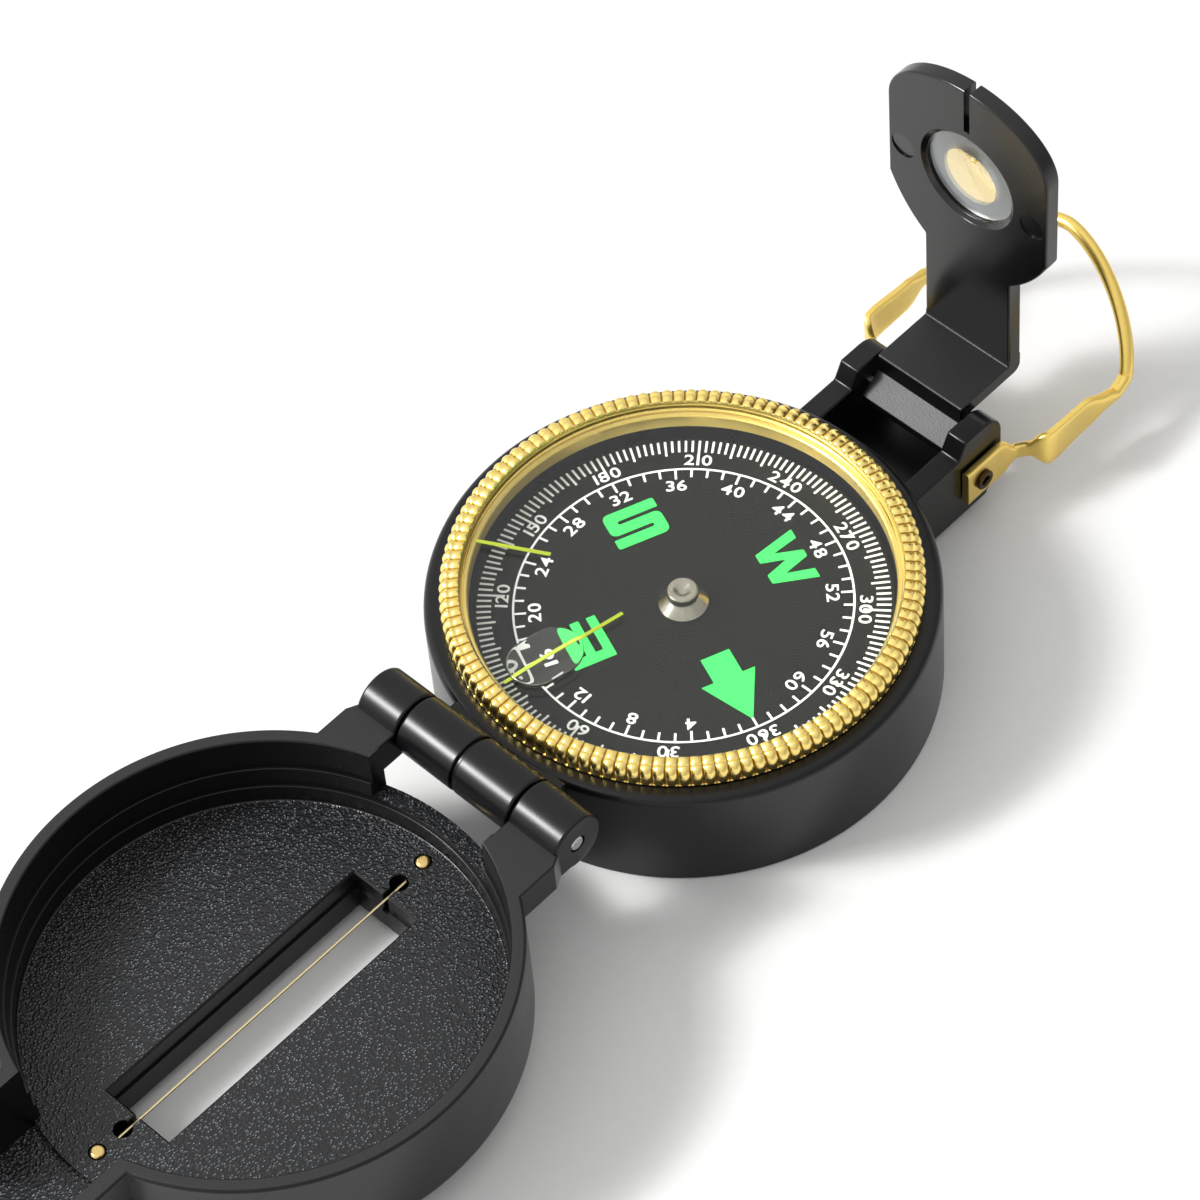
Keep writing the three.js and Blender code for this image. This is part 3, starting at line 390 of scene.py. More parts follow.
def rod(radius: float, ends: Point2, flats: int, axis: Axis = Axis.Z, centre: Point3 = (0, 0, 0),
        rounds: Point2 = (0, 0), steps: int = 6) -> bpy.types.Mesh:
    """Round bar along a line.

    Args:
        radius: its radius.
        ends: distances along the line where it starts and ends.
        flats: flats round it.
        axis: direction of the line.
        centre: a point on the line, where distance is 0.
        rounds: arc radius of its edge at each end.
        steps: straight steps in each arc.

    Returns:
        The mesh.
    """
    low, high = ends
    corners = [(0, low, 0), (radius, low, rounds[0]), (radius, high, rounds[1]), (0, high, 0)]
    return turned(rounded(corners, closed=False, steps=steps), flats, axis, centre)


def drawn(outline: list[Point2], low: float, high: float, axis: Axis,
          centre: Point3 = (0, 0, 0)) -> bpy.types.Mesh:
    """Outline drawn out into a prism.

    Args:
        outline: its (u, v) points.
        low: depth where it starts.
        high: depth where it ends.
        axis: direction that it is drawn along.
        centre: the point that u, v and depth count from.

    Returns:
        The mesh.
    """
    rings = [[spot(axis, centre, u, v, depth) for u, v in outline] for depth in (low, high)]
    return skin(rings, looped=False)


def oblong(half_u: float, half_v: float, radius: float = 0.0) -> list[Point2]:
    """Rectangle about its own centre, its corners rounded."""
    signs = [(-1, -1), (1, -1), (1, 1), (-1, 1)]
    return rounded([(a * half_u, b * half_v, radius) for a, b in signs])


def bevelled(mesh: bpy.types.Mesh, width: float) -> bpy.types.Mesh:
    """Rounds the sharp edges of a mesh.

    Args:
        mesh: the mesh, which is changed.
        width: how far the rounding reaches from the edge, in millimetres.

    Returns:
        The same mesh.
    """
    with opened(mesh) as work:
        sharp = [edge for edge in work.edges if edge.calc_face_angle(0) > SMOOTH_ANGLE]
        bmesh.ops.bevel(work, geom=sharp, offset=width * MM, offset_type="OFFSET", segments=BEVEL_STEPS,
                        profile=BEVEL_ROUND, affect="EDGES", clamp_overlap=True)
    return mesh


def fused(first: bpy.types.Mesh, others: list[bpy.types.Mesh], how: Fuse) -> bpy.types.Mesh:
    """One mesh joined with others or cut by them.

    Args:
        first: the mesh to start from.
        others: the meshes that join it or cut it, in order.
        how: join or cut.

    Returns:
        A new mesh.
    """
    items = [linked("fuse", mesh) for mesh in (first, *others)]
    for tool in items[1:]:
        modifier = items[0].modifiers.new("fuse", "BOOLEAN")
        modifier.operation = how.value
        modifier.solver = "MANIFOLD"
        modifier.object = tool
    result = evaluated(items[0])
    for item in items:
        bpy.data.objects.remove(item)
    with opened(result) as work:
        merge(work, FUSE_MERGE_DISTANCE)
    return result


def gathered(meshes: list[bpy.types.Mesh]) -> bpy.types.Mesh:
    """Several separate meshes as one.

    Args:
        meshes: the meshes, which stay as they are.

    Returns:
        A new mesh.
    """
    result = bpy.data.meshes.new("part")
    with opened(result) as work:
        for mesh in meshes:
            work.from_mesh(mesh)
    return result


@dataclass(frozen=True)
class MouldedAbs:
    """Injection-moulded ABS: dye all the way through, a sheen that the tool's surface sets.

    patch and grain are the sizes of the gloss's patches and of the tool's marks, relief is their depth,
    and pits are the heights of the grain between which the second shade comes in: dust on most finishes, and
    on the spark grain a painted glint at the grain's tips.
    """

    name: str
    shade: str
    dust: str
    roughness: float
    spread: float
    grain: float
    relief: float
    tool: Tool = Tool.POLISHED
    ior: float = 1.38
    patch: float = 7.0
    pits: Point2 = (0.28, 0.1)

    def material(self) -> bpy.types.Material:
        """Black plastic whose grain breaks the sheen into specks, with a slightly uneven gloss and a second
        shade at the grain's tips: dust, or a painted glint.

        Returns:
            The material.
        """
        material, tree = blank(self.name)
        place = add(tree, "ShaderNodeTexCoord").outputs["Object"]
        patches = add(tree, "ShaderNodeTexNoise",
                      {"Scale": per_mm(self.patch), "Detail": 4.0}, {"Vector": place})
        kind, output = self.tool.value
        grain = add(tree, kind, {"Scale": per_mm(self.grain)}, {"Vector": place}).outputs[output]
        gloss = add(tree, "ShaderNodeMapRange",
                    {"To Min": self.roughness - self.spread, "To Max": self.roughness + self.spread},
                    {"Value": patches.outputs["Fac"]})
        # Second shade at the grain's tips: dust, or a painted glint on the spark grain
        dust_and_glint_tone = add(tree, "ShaderNodeMapRange",
                   {"From Min": self.pits[0], "From Max": self.pits[1]}, {"Value": grain})
        bump = add(tree, "ShaderNodeBump", {"Distance": self.relief * MM, "invert": True}, {"Height": grain})
        shaded(tree, (self.shade, self.dust), dust_and_glint_tone.outputs["Result"], {"IOR": self.ior},
               {"Roughness": gloss.outputs["Result"], "Normal": bump.outputs["Normal"]})
        return material


@dataclass(frozen=True)
class PlatedMetal:
    """Bright metal: bare or plated, with the fine lines and ripples of how it was made.

    ripple is the size of the ripples, relief their depth, and turning the pitch of a lathe's rings,
    which wander a little.
    """

    name: str
    shade: str
    tint: str
    roughness: float
    spread: float
    ripple: float
    relief: float
    turning: float = 0.0
    wander: float = 0.4
    strength: float = 0.6

    def material(self) -> bpy.types.Material:
        """Coloured mirror, broken up by ripples in the plating or by rings from the lathe.

        Returns:
            The material.
        """
        material, tree = blank(self.name)
        place = add(tree, "ShaderNodeTexCoord").outputs["Object"]
        ripple = add(tree, "ShaderNodeTexNoise",
                     {"Scale": per_mm(self.ripple), "Detail": 3.0}, {"Vector": place}).outputs["Fac"]
        height = ripple
        if self.turning:
            rings = add(tree, "ShaderNodeTexWave",
                        {"wave_type": "RINGS", "rings_direction": "Z",
                         "Scale": WAVE_PERIOD * per_mm(self.turning), "Distortion": self.wander},
                        {"Vector": place})
            height = rings.outputs["Fac"]
        gloss = add(tree, "ShaderNodeMapRange",
                    {"To Min": self.roughness - self.spread, "To Max": self.roughness + self.spread},
                    {"Value": ripple})
        bump = add(tree, "ShaderNodeBump",
                   {"Distance": self.relief * MM, "Strength": self.strength}, {"Height": height})
        shaded(tree, (self.shade, self.tint), ripple, {"Metallic": 1.0},
               {"Roughness": gloss.outputs["Result"], "Normal": bump.outputs["Normal"]})
        return material


@dataclass(frozen=True)
class ClearAcrylic:
    """Clear acrylic, or a jewel's stone: cast, moulded or cut, then polished or ground, with a tint."""

    name: str
    shade: str
    roughness: float = 0.0
    ior: float = 1.49

    def material(self) -> bpy.types.Material:
        """Clear solid that bends the view through it and lets the lamps' light pass.

        Returns:
            The material.
        """
        material, tree = blank(self.name)
        shader = add(tree, "ShaderNodeBsdfPrincipled",
                     {"Base Color": linear(self.shade), "Roughness": self.roughness, "IOR": self.ior,
                      "Transmission Weight": 1.0})
        passing = add(tree, "ShaderNodeBsdfTransparent", {"Color": linear(self.shade)})
        path = add(tree, "ShaderNodeLightPath")
        mix = add(tree, "ShaderNodeMixShader", None,
                  {0: path.outputs["Is Shadow Ray"], 1: shader.outputs["BSDF"], 2: passing.outputs["BSDF"]})
        add(tree, "ShaderNodeOutputMaterial", None, {"Surface": mix.outputs["Shader"]})
        return material


@dataclass(frozen=True)
class ScreenInk:
    """Screen-printed ink or paint: a flat, slightly mottled coat."""

    name: str
    shade: str
    thin: str
    roughness: float
    mottle: float = 0.5
    relief: float = 0.01
    strength: float = 0.3

    def material(self) -> bpy.types.Material:
        """Even matt colour with a faint mottle where the coat is thin.

        Returns:
            The material.
        """
        material, tree = blank(self.name)
        place = add(tree, "ShaderNodeTexCoord").outputs["Object"]
        mottle = add(tree, "ShaderNodeTexNoise",
                     {"Scale": per_mm(self.mottle), "Detail": 3.0}, {"Vector": place}).outputs["Fac"]
        bump = add(tree, "ShaderNodeBump",
                   {"Distance": self.relief * MM, "Strength": self.strength}, {"Height": mottle})
        shaded(tree, (self.shade, self.thin), mottle, {"Roughness": self.roughness},
               {"Normal": bump.outputs["Normal"]})
        return material


@dataclass(frozen=True)
class MattPaper:
    """Uncoated paper: pressed fibres, white and dull."""

    name: str
    shade: str
    shadow: str
    roughness: float
    fibre: float = 1.5

    def material(self) -> bpy.types.Material:
        """Matt white with a faint cloud of fibres.

        Returns:
            The material.
        """
        material, tree = blank(self.name)
        place = add(tree, "ShaderNodeTexCoord").outputs["Object"]
        fibre = add(tree, "ShaderNodeTexNoise",
                    {"Scale": per_mm(self.fibre), "Detail": 3.0}, {"Vector": place})
        shaded(tree, (self.shade, self.shadow), fibre.outputs["Fac"], {"Roughness": self.roughness}, {})
        return material


class Finishes:
    """Every finish on the compass and under it, made once."""

    def __init__(self) -> None:
        """Makes the materials, kind by kind."""
        self.plastics()
        self.metals()
        self.clears()
        self.card_and_inks()

    def plastics(self) -> None:
        """Makes the moulded plastics."""
        # Smooth tool: clear highlights along the barrels, deep black elsewhere
        self.satin = MouldedAbs(
            "abs_black_satin", "08080a", "131416", roughness=0.29, spread=0.05, grain=0.16, relief=0.005,
        ).material()
        # Spark-eroded tool: specks of light over the cover's floor, drawn a little coarser than the real
        # pits; beside the real glints from the relief, the pale shade at the grain's tips is a painted glint
        self.spark = MouldedAbs(
            "abs_black_spark_grain_painted_glints", "131416", "7e8187", roughness=0.28, spread=0.04, grain=0.31, relief=0.11,
            tool=Tool.ERODED, ior=1.45,
        ).material()
        # Finer spark grain: an even grey bloom where it meets the light
        self.fine = MouldedAbs(
            "abs_black_fine_grain", "0b0c0d", "1d1e20", roughness=0.48, spread=0.05, grain=0.2, relief=0.014,
            tool=Tool.ERODED, ior=1.5,
        ).material()
        # Polished tool: near mirror, with slow waves from the cooling plastic
        self.gloss = MouldedAbs(
            "abs_black_polished", "070708", "0e0f10", roughness=0.2, spread=0.05, grain=0.9, relief=0.006,
            ior=1.5,
        ).material()

    def metals(self) -> None:
        """Makes the plated and bare metals."""
        # Gold-coloured plating over cut brass teeth: yellow highlights, olive valleys
        self.gold = PlatedMetal(
            "gold_plated_brass", "fbe492", "f3d372", roughness=0.25, spread=0.05, ripple=0.5, relief=0.006,
        ).material()
        # The same plating over a bored wall and drawn wire: soft bands of light
        self.soft_gold = PlatedMetal(
            "gold_plated_satin", "f8dc82", "f0cc68", roughness=0.32, spread=0.06, ripple=0.5, relief=0.004,
        ).material()
        # Valleys of the cut teeth: painted shade, a darker and duller brass standing in for the shadow in the
        # grooves
        self.groove = PlatedMetal(
            "brass_cut_painted_valley_shade", "b9923f", "94722d", roughness=0.4, spread=0.08, ripple=0.4, relief=0.006,
        ).material()
        # Drawn brass: paler and a little duller than the plating
        self.brass = PlatedMetal(
            "brass_drawn", "e6cd8c", "d6b566", roughness=0.24, spread=0.06, ripple=0.3, relief=0.004,
        ).material()
        # Bare drawn wire: pale, with a soft shine along its whole length
        self.wire = PlatedMetal(
            "brass_wire_bare", "f6e6bb", "ecd8a2", roughness=0.4, spread=0.05, ripple=0.3, relief=0.002,
        ).material()
        # Turned and nickelled: warm grey mirror with fine rings
        self.nickel = PlatedMetal(
            "brass_nickelled_turned", "bab3a4", "a29a8b", roughness=0.14, spread=0.04, ripple=0.6,
            relief=0.0015, turning=0.16,
        ).material()
        # Cropped steel pin: bright end face
        self.steel = PlatedMetal(
            "steel_bright", "c3c4c6", "a9aaad", roughness=0.26, spread=0.07, ripple=0.25, relief=0.01,
        ).material()
        # Blackened steel: dark brown with a dull shine
        self.black_steel = PlatedMetal(
            "steel_blackened", "5a4526", "33271a", roughness=0.38, spread=0.08, ripple=0.3, relief=0.01,
        ).material()
        # Ferrite: sintered, dark grey and dull
        self.ferrite = PlatedMetal(
            "ferrite_sintered", "3c3c40", "2f2f33", roughness=0.6, spread=0.08, ripple=0.2, relief=0.02,
        ).material()

    def clears(self) -> None:
        """Makes what light passes through."""
        # Coated crystal: a thin veil of the sky over the dial, fainter than on bare acrylic
        self.crystal = ClearAcrylic("acrylic_cast_coated", "fbfdfc", ior=1.34).material()
        # Coated magnifier: the scale below it swells, and little of the sky lies over it
        self.lens = ClearAcrylic("acrylic_moulded_lens", "fdfdfa", ior=1.38).material()
        # Eyepiece's cast lens: clear, with a warm tint painted in for the warm surround seen through it
        self.eye_lens = ClearAcrylic("acrylic_cast_lens_painted_warm_view", "f2dfae").material()
        # That lens's ground edge: a grey frost that scatters what is behind it
        self.ground = ClearAcrylic("acrylic_ground_edge", "94989a", roughness=0.35).material()
        # Polished red corundum: a small deep red bead
        self.ruby = ClearAcrylic("corundum_red_polished", "b5364c", roughness=0.05).material()

    def card_and_inks(self) -> None:
        """Makes the card, the inks on it and the paper below."""
        # Black card under a thin varnish: dark and even, with a trace of warmth
        self.card = MouldedAbs(
            "card_black_varnished", "0b0b07", "10100a", roughness=0.5, spread=0.05, grain=0.3, relief=0.0006,
            ior=1.2,
        ).material()
        # White ink: crisp lines, not quite paper white
        self.white = ScreenInk("ink_white_screened", "f1f1ee", "d9d9d4", roughness=0.5).material()
        # Zinc sulphide pigment: a bright even green, and a yellower one for the lines
        self.green = ScreenInk("ink_luminous_green", "32de59", "2bcf4e", roughness=0.55).material()
        self.lime = ScreenInk("paint_luminous_yellow_green", "a3b22c", "929f25", roughness=0.5).material()
        # Studio paper: pale, with no shine of its own
        self.paper = MattPaper("paper_white_matt", "d8d8d7", "d3d3d2", roughness=0.85).material()


def piece(name: str, mesh: bpy.types.Mesh, materials: list[bpy.types.Material], body: Body,
          replaces: tuple[str, ...] = (),
          choose: Callable[[bpy.types.MeshPolygon], int] | None = None) -> None:
    """Puts a finished mesh in the scene.

    Args:
        name: the piece's name.
        mesh: its mesh, in the part's frame.
        materials: its material, and others for some faces.
        body: the body that it moves with.
        replaces: the solids that it stands for.
        choose: says of a face which material it takes, by number.
    """
    mesh.name = name
    mesh.materials.clear()
    for material in materials:
        mesh.materials.append(material)
    if choose:
        mesh.polygons.foreach_set("material_index", [int(choose(face)) for face in mesh.polygons])
    mesh.polygons.foreach_set("use_smooth", [True] * len(mesh.polygons))
    mesh.set_sharp_from_angle(angle=SMOOTH_ANGLE)
    item = linked(name, mesh)
    normals = item.modifiers.new("flat_faces_stay_flat", "WEIGHTED_NORMAL")
    normals.keep_sharp = True
    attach(item, body.value)
    if replaces:
        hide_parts(*replaces)
    log.info("%s: %d faces on %s", name, len(mesh.polygons), body.value)


@dataclass
class Datum:
    """Places that the sub-assemblies share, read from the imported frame; a hinge line is its y and z."""

    case_radius: float
    hinge: Point2
    eyepiece: Point2
    loop: Point2

    @classmethod
    def read(cls, frame: dict) -> Datum:
        """Reads the case's radius and the hinge lines.

        Args:
            frame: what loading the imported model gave.

        Returns:
            The shared places.
        """
        lines = {joint["name"]: joint["pos_m"] for joint in frame["joints"]}
        at = {name: (place[1] / MM, place[2] / MM) for name, place in lines.items()}
        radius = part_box("base_case")[1].x / MM
        return cls(radius, at["cover_hinge"], at["eyepiece_hinge"], at["loop_hinge"])


@dataclass
class HingeSizes:
    """Sizes that the base's and the cover's knuckles share."""

    barrel: float = 3.4
    pin: float = 0.9
    pin_gap: float = 0.12
    pin_round: float = 0.25
    base_half: float = 7.9
    gap: float = 0.25
    left_end: float = 13.7
    right_end: float = 14.9
    end_round: float = 0.35


@dataclass
class BaseCase:
    """Round case with the hinge knuckles at the front and the ears at the back."""

    datum: Datum
    finishes: Finishes
    knuckle: HingeSizes = field(default_factory=HingeSizes)
    rim: float = 14.1
    rim_round: float = 0.9
    foot_round: float = 0.4
    bore: float = 24.5
    bore_round: float = 0.25
    shelf: float = 12.7
    shelf_round: float = 0.1
    chamber: float = 23.2
    chamber_round: float = 0.4
    floor: float = 2.0
    boss: float = 3.0
    boss_top: float = 4.6
    boss_round: float = 0.2
    groove: float = 0.4
    groove_half: float = 0.25
    groove_round: float = 0.3
    arm_low: float = 11.3
    arm_high: float = 13.9
    arm_round: float = 0.4
    ear_inner: float = 6.4
    ear_outer: float = 9.1
    ear_foot: float = 1.0
    ear_top: float = 12.7
    ear_step: float = 2.2
    ear_step_y: float = 33.9
    ear_step_run: float = 1.2
    ear_step_round: float = 0.4
    ear_overhang: float = 3.7
    ear_round: float = 3.7
    ear_arc_steps: int = 10
    ear_edge: float = 0.28
    web_top: float = 4.0
    web_reach: float = 11.0
    web_round: float = 0.3
    rivet_shank: float = 0.75
    rivet_head: float = 0.35
    rivet_head_round: float = 0.28
    rivet_under_round: float = 0.05
    rivet_hole: float = 0.58
    rivet_hole_round: float = 0.2
    rivet_hole_depth: float = 0.9

    def cup(self) -> bpy.types.Mesh:
        """Case wall, rim, bezel bore and dial chamber.

        Returns:
            The mesh.
        """
        return turned(rounded([
            (0, 0, 0),
            (self.datum.case_radius, 0, self.foot_round),
            (self.datum.case_radius, self.rim, self.rim_round),
            (self.bore, self.rim, self.bore_round),
            (self.bore, self.shelf, 0),
            (self.chamber, self.shelf, self.shelf_round),
            (self.chamber, self.floor, self.chamber_round),
            (self.boss, self.floor, self.boss_round),
            (self.boss, self.boss_top, self.boss_round),
            (0, self.boss_top, 0),
        ], closed=False), Flats.CASE)

    def knuckles(self) -> list[bpy.types.Mesh]:
        """Hinge barrel with its middle groove, and the arm that carries it.

        Returns:
            The two meshes.
        """
        sizes = self.knuckle
        y, z = self.datum.hinge
        core = sizes.barrel - self.groove
        barrel = turned(rounded([
            (0, -sizes.base_half, 0),
            (sizes.barrel, -sizes.base_half, sizes.end_round),
            (sizes.barrel, -self.groove_half, self.groove_round),
            (core, -self.groove_half, 0),
            (core, self.groove_half, 0),
            (sizes.barrel, self.groove_half, self.groove_round),
            (sizes.barrel, sizes.base_half, sizes.end_round),
            (0, sizes.base_half, 0),
        ], closed=False), Flats.BARREL, Axis.X, (0, y, z))
        low = y - sizes.barrel / 2
        high = -(self.datum.case_radius + self.bore) / 2
        side = oblong((high - low) / 2, (self.arm_high - self.arm_low) / 2, self.arm_round)
        middle = (0, (low + high) / 2, (self.arm_low + self.arm_high) / 2)
        arm = drawn(side, -sizes.base_half, sizes.base_half, Axis.X, middle)
        return [barrel, arm]

    def ears(self) -> list[bpy.types.Mesh]:
        """Two ears with a sloped step, and the web between them.

        Returns:
            The three meshes.
        """
        middle = (self.datum.case_radius + self.bore) / 2
        root = math.sqrt(middle ** 2 - self.ear_outer ** 2)
        end = self.datum.eyepiece[0] + self.ear_overhang
        low_top = self.ear_top - self.ear_step
        outline = rounded([
            (root, self.ear_foot, 0),
            (end, self.ear_foot, self.ear_round),
            (end, self.ear_top, self.ear_round),
            (self.ear_step_y + self.ear_step_run, self.ear_top, self.ear_step_round),
            (self.ear_step_y, low_top, self.ear_step_round),
            (root, low_top, 0),
        ], steps=self.ear_arc_steps)
        ears = [
            bevelled(drawn(outline, side * self.ear_inner, side * self.ear_outer, Axis.X), self.ear_edge)
            for side in (-1, 1)
        ]
        reach = self.datum.case_radius + self.web_reach
        web = drawn(
            oblong((reach - root) / 2, (self.web_top - self.ear_foot) / 2, self.web_round),
            -self.ear_outer, self.ear_outer, Axis.X,
            (0, (reach + root) / 2, (self.web_top + self.ear_foot) / 2),
        )
        return [*ears, web]

    def build(self) -> None:
        """Makes the case in one moulding, bored for the hinge pin, then the pin and the rivets."""
        bore = self.knuckle.pin + self.knuckle.pin_gap
        length = 2 * self.knuckle.base_half
        whole = fused(self.cup(), [*self.knuckles(), *self.ears()], Fuse.JOIN)
        pin_way = rod(bore, (-length, length), Flats.BORE, Axis.X, (0, *self.datum.hinge))
        whole = fused(whole, [pin_way], Fuse.CUT)
        piece("base_case_moulding", whole, [self.finishes.satin], Body.BASE, ("base_case",))
        self.hinge_pin()
        self.rivets()

    def hinge_pin(self) -> None:
        """Steel pin with lightly domed ends."""
        sizes = self.knuckle
        mesh = rod(sizes.pin, (-sizes.left_end, sizes.right_end), Flats.ROD, Axis.X,
                   (0, *self.datum.hinge), (sizes.pin_round, sizes.pin_round))
        piece("hinge_pin_rod", mesh, [self.finishes.steel], Body.BASE, ("hinge_pin",))

    def rivets(self) -> None:
        """Tubular rivets that hold the loop, their heads rolled over a dark hole."""
        for side, name in ((-1, "loop_rivet_left"), (1, "loop_rivet_right")):
            low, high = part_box(name)
            near, far = sorted((abs(low.x) / MM, abs(high.x) / MM))
            radius = (high.z - low.z) / 2 / MM
            head = far - self.rivet_head
            floor = far - self.rivet_hole_depth
            profile = rounded([
                (0, side * near, 0),
                (self.rivet_shank, side * near, 0),
                (self.rivet_shank, side * head, 0),
                (radius, side * head, self.rivet_under_round),
                (radius, side * far, self.rivet_head_round),
                (self.rivet_hole, side * far, self.rivet_hole_round),
                (self.rivet_hole, side * floor, 0),
                (0, side * floor, 0),
            ], closed=False)
            mesh = turned(profile, Flats.ROD, Axis.X, (0, *self.datum.loop))
            piece(name + "_head", mesh, [self.finishes.black_steel], Body.BASE, (name,))


@dataclass(frozen=True)
class ToothRow:
    """One level of the bezel's teeth: where it lies on the ring, and its groove.

    across and down are shares of the land's width and the ring's height. depth is in millimetres,
    taper narrows the crest, and lean is the cutter's direction in degrees from straight down.
    """

    across: float
    down: float
    depth: float
    taper: float
    lean: float


@dataclass
class Bezel:
    """Turning ring with two rows of teeth, its crystal and the magnifier on it."""

    finishes: Finishes
    teeth: int = 120
    steps_per_tooth: int = 12
    window: float = 23.45
    seat: float = 22.7
    seat_bevel: float = 0.15
    ledge: float = 14.7
    bead: float = 0.08
    bead_drop: float = 0.77
    under: float = 14.3
    foot_inset: float = 0.12
    neck: float = 23.9
    skirt: float = 24.3
    skirt_bevel: float = 0.1
    lip: float = 13.4
    rows: tuple[ToothRow, ...] = (
        ToothRow(0.0, 0.13, 0.0, 1.0, 0),
        ToothRow(0.05, 0.04, 0.12, 1.0, 0),
        ToothRow(0.14, 0.0, 0.26, 0.9, 0),
        ToothRow(0.28, 0.0, 0.32, 0.9, 0),
        ToothRow(0.40, 0.02, 0.30, 1.0, 10),
        ToothRow(0.48, 0.09, 0.16, 1.0, 30),
        ToothRow(0.54, 0.09, 0.16, 1.0, 30),
        ToothRow(0.61, 0.05, 0.30, 0.9, 30),
        ToothRow(0.73, 0.07, 0.34, 0.9, 35),
        ToothRow(0.84, 0.15, 0.36, 0.9, 45),
        ToothRow(0.93, 0.27, 0.36, 0.9, 55),
        ToothRow(1.0, 0.43, 0.34, 0.8, 75),
        ToothRow(1.0, 0.64, 0.32, 0.7, 90),
        ToothRow(0.985, 0.82, 0.28, 0.7, 90),
        ToothRow(0.95, 0.96, 0.20, 0.7, 90),
    )
    crest: float = 0.3
    wall_margin: float = 0.05
    wall_drop: float = 0.3
    land_share: float = 0.03
    # Share of a tooth's pitch about each groove's middle that takes the painted valley shade
    groove_share: float = 0.12
    crystal_round: float = 0.12
    crystal_arc_steps: int = 3
    line_angle: float = -102.0
    magnifier_length: float = 8.6
    magnifier_width: float = 6.2
    magnifier_wall: float = 0.3
    magnifier_steps: int = 72
    magnifier_foot: Point2 = (0.97, 0.06)
    dome_steps: int = 10

    def __post_init__(self) -> None:
        """Reads the ring's reach from the frame."""
        low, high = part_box("bezel_ring")
        self.outer = high.x / MM + self.crest
        self.top = high.z / MM
        self.bottom = low.z / MM

    def toothed(self, offset: float) -> list[Point2]:
        """Outer part of the ring's section: top row, corner and side row of teeth.

        Args:
            offset: distance from the nearest groove's middle, in tooth pitches.

        Returns:
            Points from the inner land to the foot of the side row.
        """
        land = self.outer - self.window
        height = self.top - self.under
        points = []
        for row in self.rows:
            depth = row.depth * (1 - math.sin(math.pi * offset) ** row.taper)
            lean = math.radians(row.lean)
            points.append((
                self.window + land * row.across - depth * math.sin(lean),
                self.top - height * row.down - depth * math.cos(lean),
            ))
        return points

    def section(self, offset: float) -> list[Point2]:
        """Whole section of the ring.

        Args:
            offset: distance from the nearest groove's middle, in tooth pitches.

        Returns:
            Points from the foot of the crystal's seat round to the skirt.
        """
        bead = self.top - self.bead_drop
        return [
            (self.seat, self.bottom),
            (self.seat, self.ledge - self.seat_bevel),
            (self.seat + self.seat_bevel, self.ledge),
            (self.window, self.ledge),
            (self.window, bead - self.bead),
            (self.window + self.bead, bead),
            (self.window, bead + self.bead),
            *self.toothed(offset),
            (self.outer - self.foot_inset, self.under),
            (self.neck, self.under),
            (self.neck, self.lip),
            (self.skirt, self.lip),
            (self.skirt, self.bottom + self.skirt_bevel),
            (self.skirt - self.skirt_bevel, self.bottom),
        ]

    def ring(self) -> None:
        """Plated ring: two rows of teeth whose grooves meet at the corner."""
        count = self.teeth * self.steps_per_tooth
        rings = []
        for i in range(count):
            angle = 2 * math.pi * i / count
            place = i / self.steps_per_tooth
            section = self.section(abs(place - round(place)))
            rings.append([(r * math.cos(angle), r * math.sin(angle), height) for r, height in section])
        mesh = skin(rings, looped=True)
        finishes = self.finishes
        piece("bezel_ring_toothed", mesh, [finishes.gold, finishes.soft_gold, finishes.groove], Body.BEZEL,
              ("bezel_ring",), self.surface)

    def surface(self, face: bpy.types.MeshPolygon) -> int:
        """Says which finish a face of the ring takes.

        Args:
            face: the face.

        Returns:
            1 on the bored wall, 2 in the grooves, which take the painted valley shade, otherwise 0.
        """
        reach = math.hypot(face.center.x, face.center.y) / MM
        height = face.center.z / MM
        if reach < self.window + self.wall_margin and height < self.top - self.wall_drop:
            return 1
        turn = math.atan2(face.center.y, face.center.x) / (2 * math.pi) * self.teeth
        cut = reach > self.window + self.land_share * (self.outer - self.window) and height > self.under
        # Faces in the grooves take the painted valley shade
        return 2 if cut and abs(turn - round(turn)) < self.groove_share else 0

    def crystal(self) -> None:
        """Flat crystal with eased edges."""
        low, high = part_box("bezel_crystal")
        mesh = rod(high.x / MM, (low.z / MM, high.z / MM), Flats.DISC,
                   rounds=(self.crystal_round, self.crystal_round), steps=self.crystal_arc_steps)
        piece("bezel_crystal_disc", mesh, [self.finishes.crystal], Body.BEZEL, ("bezel_crystal",))

    def magnifier(self) -> None:
        """Round-ended lens with a domed top, over the outer end of the long line."""
        low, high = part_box("magnifier")
        half = self.magnifier_width / 2
        reach = self.magnifier_length / 2 - half
        bottom = low.z / MM
        height = (high.z - low.z) / MM
        wall = self.magnifier_wall
        foot_share, foot_rise = self.magnifier_foot
        levels = [(foot_share, 0.0), (1.0, foot_rise), (1.0, wall)]
        for k in range(1, self.dome_steps + 1):
            angle = k * math.pi / 2 / (self.dome_steps + 1)
            levels.append((math.cos(angle), wall + (1 - wall) * math.sin(angle)))
        turn = Matrix.Rotation(math.radians(self.line_angle), 3, "Z")
        middle = Vector(((low.x + high.x) / 2, (low.y + high.y) / 2)) / MM
        rings = []
        for share, rise in levels:
            ring = []
            for k in range(self.magnifier_steps):
                angle = 2 * math.pi * (k + 0.5) / self.magnifier_steps
                along = math.copysign(reach, math.cos(angle)) * share + half * share * math.cos(angle)
                place = turn @ Vector((along, half * share * math.sin(angle), 0))
                ring.append((middle.x + place.x, middle.y + place.y, bottom + height * rise))
            rings.append(ring)
        mesh = skin(rings, looped=False)
        piece("magnifier_lens", mesh, [self.finishes.lens], Body.BEZEL, ("magnifier",))

    def build(self) -> None:
        """Makes the ring, the crystal and the magnifier."""
        self.ring()
        self.crystal()
        self.magnifier()


